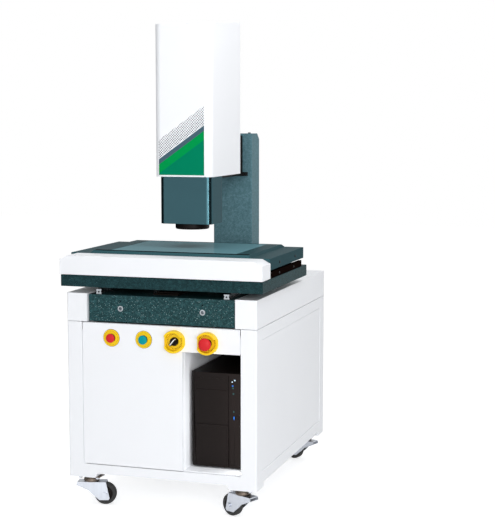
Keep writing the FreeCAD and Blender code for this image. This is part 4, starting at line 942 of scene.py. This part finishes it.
@dataclass
class Head:
    """The measuring head: white cover with its stripes, camera housing, ring light and lens."""

    half: float = 108.5
    front: float = 234.0
    back: float = 570.0
    bottom: float = 1170.0
    top: float = 1711.0
    round_front: float = 26.0
    round_back: float = 5.0
    sheet: float = 2.0
    stripe_left: float = -91.3
    stripe_right: float = 81.2
    rise: float = 24.0
    bands: tuple[float, ...] = (1364.6, 1299.3, 1296.3, 1276.9, 1245.3)
    stripe_bottom: float = 1176.0
    arm_gap: float = 34.0
    arm_top: float = 1298.0
    lens_depth: float = 333.0

    def build(self) -> None:
        """Build the cover, then dress what is under it."""
        self.cover()
        for row in (
            ("camera_housing", HOUSING, 1.6), ("z_rails", RAIL_STEEL, 0.3), ("z_blocks", BLACK_STEEL, 0.5),
            ("z_supports", CAST_IRON, 0.8), ("z_screw", RAIL_STEEL, 0.4), ("z_motor", BLACK_PAINT, 1.5),
            ("z_carriage", CAST_IRON, 1.2), ("lens_barrel", BLACK_PAINT, 0.4), ("lens_glass", LENS, 0.2),
        ):
            dress_copy(*row)
        self.ring_light()

    def cover(self) -> None:
        """Fold the cover from one box, cut its arm window and lay out the stripes."""
        shape = Shape()
        bm = shape.bm
        shape.block((-self.half, self.half), (self.front, self.back), (self.bottom, self.top))
        front_y = PLACE.at(0, self.front, 0).y
        back_y = PLACE.at(0, self.back, 0).y
        for y, radius, steps in ((front_y, self.round_front, 14), (back_y, self.round_back, 4)):
            ends = [(e, e.verts[0].co, e.verts[1].co) for e in bm.edges]
            upright = [e for e, a, b in ends if abs(a.z - b.z) > 0.1 and abs(a.y - y) < 1e-5]
            shape.round_edges(upright, radius, steps)
        roof = (self.top - 1.0) * MM
        for vert in bm.verts:
            if vert.co.z > roof:
                vert.co.z += self.rise * MM * (vert.co.y - front_y) / (back_y - front_y)
        rim = [e for e in bm.edges if all(v.co.z > roof for v in e.verts) and e.calc_face_angle(0) > 1.0]
        shape.round_edges(rim, 2.2, 3)
        floor = [f for f in bm.faces if f.normal.z < -0.9]
        bmesh.ops.delete(bm, geom=floor, context="FACES_ONLY")
        self.window(bm, back_y)
        self.stripes(bm, front_y)
        shape.finish(
            "head_cover_shell", Body.MACHINE.value, [WHITE, DOTS, WHITE, SLATE, GREEN, DARK_GREEN], ["head_cover"],
            smooth=25.0, wall=self.sheet,
        )
        self.top_screws()

    def window(self, bm: bmesh.types.BMesh, back_y: float) -> None:
        """Cut the opening for the arm in the back wall.

        Args:
            bm: The cover.
            back_y: The back wall's place in metres.
        """
        half, high = self.arm_gap, self.arm_top

        def wall() -> list[bmesh.types.BMFace]:
            """The faces of the back wall."""
            return [f for f in bm.faces if f.normal.y > 0.99 and abs(f.calc_center_median().y - back_y) < 1e-4]

        for point, normal in (((-half, 0), (1, 0, 0)), ((half, 0), (1, 0, 0)), ((0, high), (0, 0, 1))):
            faces = wall()
            geom = faces + list({e for f in faces for e in f.edges}) + list({v for f in faces for v in f.verts})
            spot = Vector((point[0] * MM, back_y, point[1] * MM))
            bmesh.ops.bisect_plane(bm, geom=geom, dist=1e-7, plane_co=spot, plane_no=normal)
        middles = [(f, f.calc_center_median()) for f in wall()]
        hole = [f for f, middle in middles if abs(middle.x) < half * MM and middle.z < high * MM]
        bmesh.ops.delete(bm, geom=hole, context="FACES")

    def stripes(self, bm: bmesh.types.BMesh, front_y: float) -> None:
        """Cut the front into slanted bands and number their finishes.

        Args:
            bm: The cover.
            front_y: The front wall's place in metres.
        """
        far = front_y + self.round_front * MM

        def front_geometry() -> list:
            """The front wall with its two rounded corners."""
            faces = [f for f in bm.faces if f.calc_center_median().y < far and abs(f.normal.z) < 0.1]
            edges = {e for f in faces for e in f.edges}
            return faces + list(edges) + list({v for f in faces for v in f.verts})

        cuts = [((x, 0), (1, 0, 0)) for x in (self.stripe_left, self.stripe_right)]
        cuts.append(((0, self.stripe_bottom), (0, 0, 1)))
        cuts += [((0, level), (-STRIPE_SLOPE, 0, 1)) for level in self.bands]
        for (x, z), normal in cuts:
            bmesh.ops.bisect_plane(
                bm, geom=front_geometry(), dist=1e-7, plane_co=Vector((x * MM, front_y, z * MM)), plane_no=normal
            )
        for face in bm.faces:
            middle = face.calc_center_median()
            x, z = middle.x / MM, middle.z / MM
            if middle.y > far or abs(face.normal.z) > 0.1 or not self.stripe_left < x < self.stripe_right:
                continue
            level = z - STRIPE_SLOPE * x
            if z < self.stripe_bottom or level > self.bands[0]:
                continue
            face.material_index = 1 + sum(level < edge for edge in self.bands[1:])

    def top_screws(self) -> None:
        """The four low screws on top of the cover, sunk a little into its slope."""
        shape = Shape()
        head = [(0, 0.1), (2.4, 0.1), (2.6, 0.4), (5.4, 0.2), (6.6, -1.0), (6.8, -1.0), (0, -1.0)]
        run = self.back - self.front
        for depth in (300.0, 510.0):
            for x in (-62.0, 62.0):
                level = self.top + self.rise * (depth - self.front) / run
                shape.lathe(head, PLACE.at(x, depth, level), Axis.Z.vector, 24)
        shape.finish("cover_screws", Body.MACHINE.value, [ZINC])

    def ring_light(self) -> None:
        """Ring light with two rows of lamps under a black rim."""
        shape = Shape()
        low, top = (corner.z for corner in reach("ring_light"))
        profile = [(28, top), (28, low + 3), (31, low + 1), (33, low), (36, low + 0.8), (38, low + 4)]
        profile += [(56, low + 4), (57, low + 0.6), (59, low), (60.8, low + 1.2), (61.7, low + 4), (62, low + 8)]
        profile += [(62, top), (28, top)]
        shape.lathe(profile, PLACE.at(0, self.lens_depth, 0), Axis.Z.vector, 96)
        shape.finish("ring_light_body", Body.HEAD.value, [BLACK_ABS], ["ring_light"])
        lamps = Shape()
        lens = [(2.4, 0.4), (2.4, -0.8), (1.7, -2.0), (0, -2.5)]
        for radius, count in ((42.0, 20), (51.0, 26)):
            for k in range(count):
                turn = math.tau * k / count
                x, y = radius * math.cos(turn), radius * math.sin(turn)
                lamps.lathe(lens, PLACE.at(x, self.lens_depth + y, low + 4.2), Axis.Z.vector, 12)
        lamps.finish("ring_light_lamps", Body.HEAD.value, [CREAM])


@dataclass
class Studio:
    """Plain floor, backdrop, soft lamps and the camera at the picture's angle."""

    eye: tuple[float, float, float] = (1.6257, -4.1163, 1.3782)
    yaw: float = 17.66
    pitch: float = 6.43
    lens_mm: float = 88.32
    shift: float = 0.00095
    floor_half: float = 12.0
    floor_glow: float = 0.66
    air: float = 0.44
    card_heights: Point2 = (0.02, 2.6)
    # Each lamp's name, place, aim, size in metres and power in watts.
    lamps: tuple[tuple, ...] = (
        ("key_lamp", (2.2, -5.6, 1.7), (0.0, 0.0, 0.75), (2.6, 2.6), 138.0),
        ("side_lamp", (1.25, -0.5, 2.5), (0.0, -0.1, 1.35), (0.9, 0.9), 12.0),
        ("strip_lamp", (2.8, -3.6, 1.2), (0.0, -0.2, 1.1), (0.16, 2.2), 20.0),
        ("top_lamp", (-0.4, -0.6, 4.6), (0.0, 0.0, 1.0), (3.0, 3.0), 30.0),
    )
    # Each card's name, its two ends on the floor and its brightness.
    cards: tuple[tuple, ...] = (
        ("left_flag", [(-2.4, -2.5), (-2.4, 3.0)], 0.0),
        ("front_reflector", [(-0.6, -4.6), (1.7, -4.3)], 1.9),
        ("right_flag", [(2.6, -2.6), (2.6, 0.8)], 0.0),
    )

    def build(self) -> None:
        """Set the floor, the world, the lamps, the cards and the camera."""
        self.floor()
        self.world()
        for row in self.lamps:
            self.lamp(*row)
        self.bay_lamp()
        for row in self.cards:
            self.card(*row)
        self.camera()

    def floor(self) -> None:
        """A large pale floor that keeps a soft shadow and reads white to the eye."""
        mesh = bpy.data.meshes.new("studio_floor")
        bm = bmesh.new()
        bmesh.ops.create_grid(bm, x_segments=1, y_segments=1, size=self.floor_half)
        bm.to_mesh(mesh)
        bm.free()
        ground = add_object("studio_floor", mesh)
        made = blank_material("studio_paper")
        tree = made.node_tree
        paper = add_node(tree, "BsdfDiffuse", {"Color": linear("E4E5E6")}).outputs[0]
        glow = add_node(tree, "Emission", {"Color": WHITE_LIGHT, "Strength": self.floor_glow})
        both = add_node(tree, "AddShader", {0: paper, 1: glow.outputs[0]})
        rays = add_node(tree, "LightPath").outputs
        seen = add_math(tree, "MAXIMUM", rays["Is Camera Ray"], rays["Is Glossy Ray"])
        pick = add_node(tree, "MixShader", {0: seen, 1: paper, 2: both.outputs[0]})
        add_node(tree, "OutputMaterial", {"Surface": pick.outputs[0]})
        mesh.materials.append(made)

    def world(self) -> None:
        """White to the camera, reflections and glass; a plain soft level to everything else."""
        scene = bpy.context.scene
        scene.world = bpy.data.worlds.new("studio_air")
        scene.world.use_nodes = True
        tree = scene.world.node_tree
        tree.nodes.clear()
        rays = add_node(tree, "LightPath").outputs
        some = add_math(tree, "MAXIMUM", rays["Is Camera Ray"], rays["Is Glossy Ray"])
        seen = add_math(tree, "MAXIMUM", some, rays["Is Transmission Ray"])
        level = add_node(tree, "MapRange", {"Value": seen, "To Min": self.air, "To Max": 1.0})
        sky = add_node(tree, "Background", {"Color": WHITE_LIGHT, "Strength": level.outputs[0]})
        add_node(tree, "OutputWorld", {"Surface": sky.outputs[0]})

    def bay_lamp(self) -> None:
        """A weak strip at the bay's right edge that lifts its white left wall, out of sight."""
        low, high = reach("bay_liner")
        spot = PLACE.at(high.x - 5.0, low.y + 12.0, (low.z + high.z) / 2)
        made = self.lamp("bay_lamp", tuple(spot), tuple(spot + Vector((-0.2, 0.05, 0.0))), (0.02, 0.38), 0.35)
        made.visible_camera = False
        made.visible_glossy = False

    def card(self, name: str, ends: Sequence[Point2], strength: float) -> None:
        """Stand an upright card that only reflections see: a black flag, or a bright panel.

        Args:
            name: The card's name.
            ends: Where its two ends stand on the floor, in metres.
            strength: How bright it is.
        """
        (x0, y0), (x1, y1) = ends
        low, high = self.card_heights
        mesh = bpy.data.meshes.new(name)
        mesh.from_pydata([(x0, y0, low), (x1, y1, low), (x1, y1, high), (x0, y0, high)], [], [(0, 1, 2, 3)])
        made = blank_material(name)
        light = add_node(made.node_tree, "Emission", {"Color": WHITE_LIGHT, "Strength": strength})
        add_node(made.node_tree, "OutputMaterial", {"Surface": light.outputs[0]})
        mesh.materials.append(made)
        board = add_object(name, mesh)
        for ray in ("camera", "diffuse", "transmission", "shadow"):
            setattr(board, "visible_" + ray, False)

    def lamp(self, name: str, spot: tuple, aim: tuple, size: Point2, power: float) -> bpy.types.Object:
        """Add a rectangular soft lamp.

        Args:
            name: The lamp's name.
            spot: Where it stands.
            aim: What it faces.
            size: Its width and height in metres.
            power: Its power in watts.

        Returns:
            The lamp.
        """
        data = bpy.data.lights.new(name, "AREA")
        data.shape = "RECTANGLE"
        data.size, data.size_y = size
        data.energy = power
        made = add_object(name, data)
        made.location = spot
        made.rotation_euler = (Vector(aim) - Vector(spot)).to_track_quat("-Z", "Y").to_euler()
        return made

    def camera(self) -> None:
        """Place the camera at the picture's angle and framing."""
        data = bpy.data.cameras.new("picture_camera")
        data.lens = self.lens_mm
        data.sensor_width = 36.0
        data.shift_x = self.shift
        data.clip_end = 100.0
        made = add_object("picture_camera", data)
        made.location = Vector(self.eye) + PLACE.at(0, 0, 0)
        made.rotation_euler = (math.radians(90.0 - self.pitch), 0.0, math.radians(self.yaw))
        bpy.context.scene.camera = made


def main() -> None:
    """Load the frame, build each sub-assembly in order and set the studio."""
    logging.basicConfig(level=logging.INFO, format="%(name)s %(message)s")
    FRAME.update(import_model())
    PLACE.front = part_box("front_panel")[0].y
    bpy.context.scene.view_settings.view_transform = "Standard"
    Studio().build()
    for assembly in (Cabinet(), Computer(), Controls(), Casters(), GraniteFrame(), Table(), Head()):
        assembly.build()
        LOG.info("%s is dressed", type(assembly).__name__)


if __name__ == "__main__":
    main()
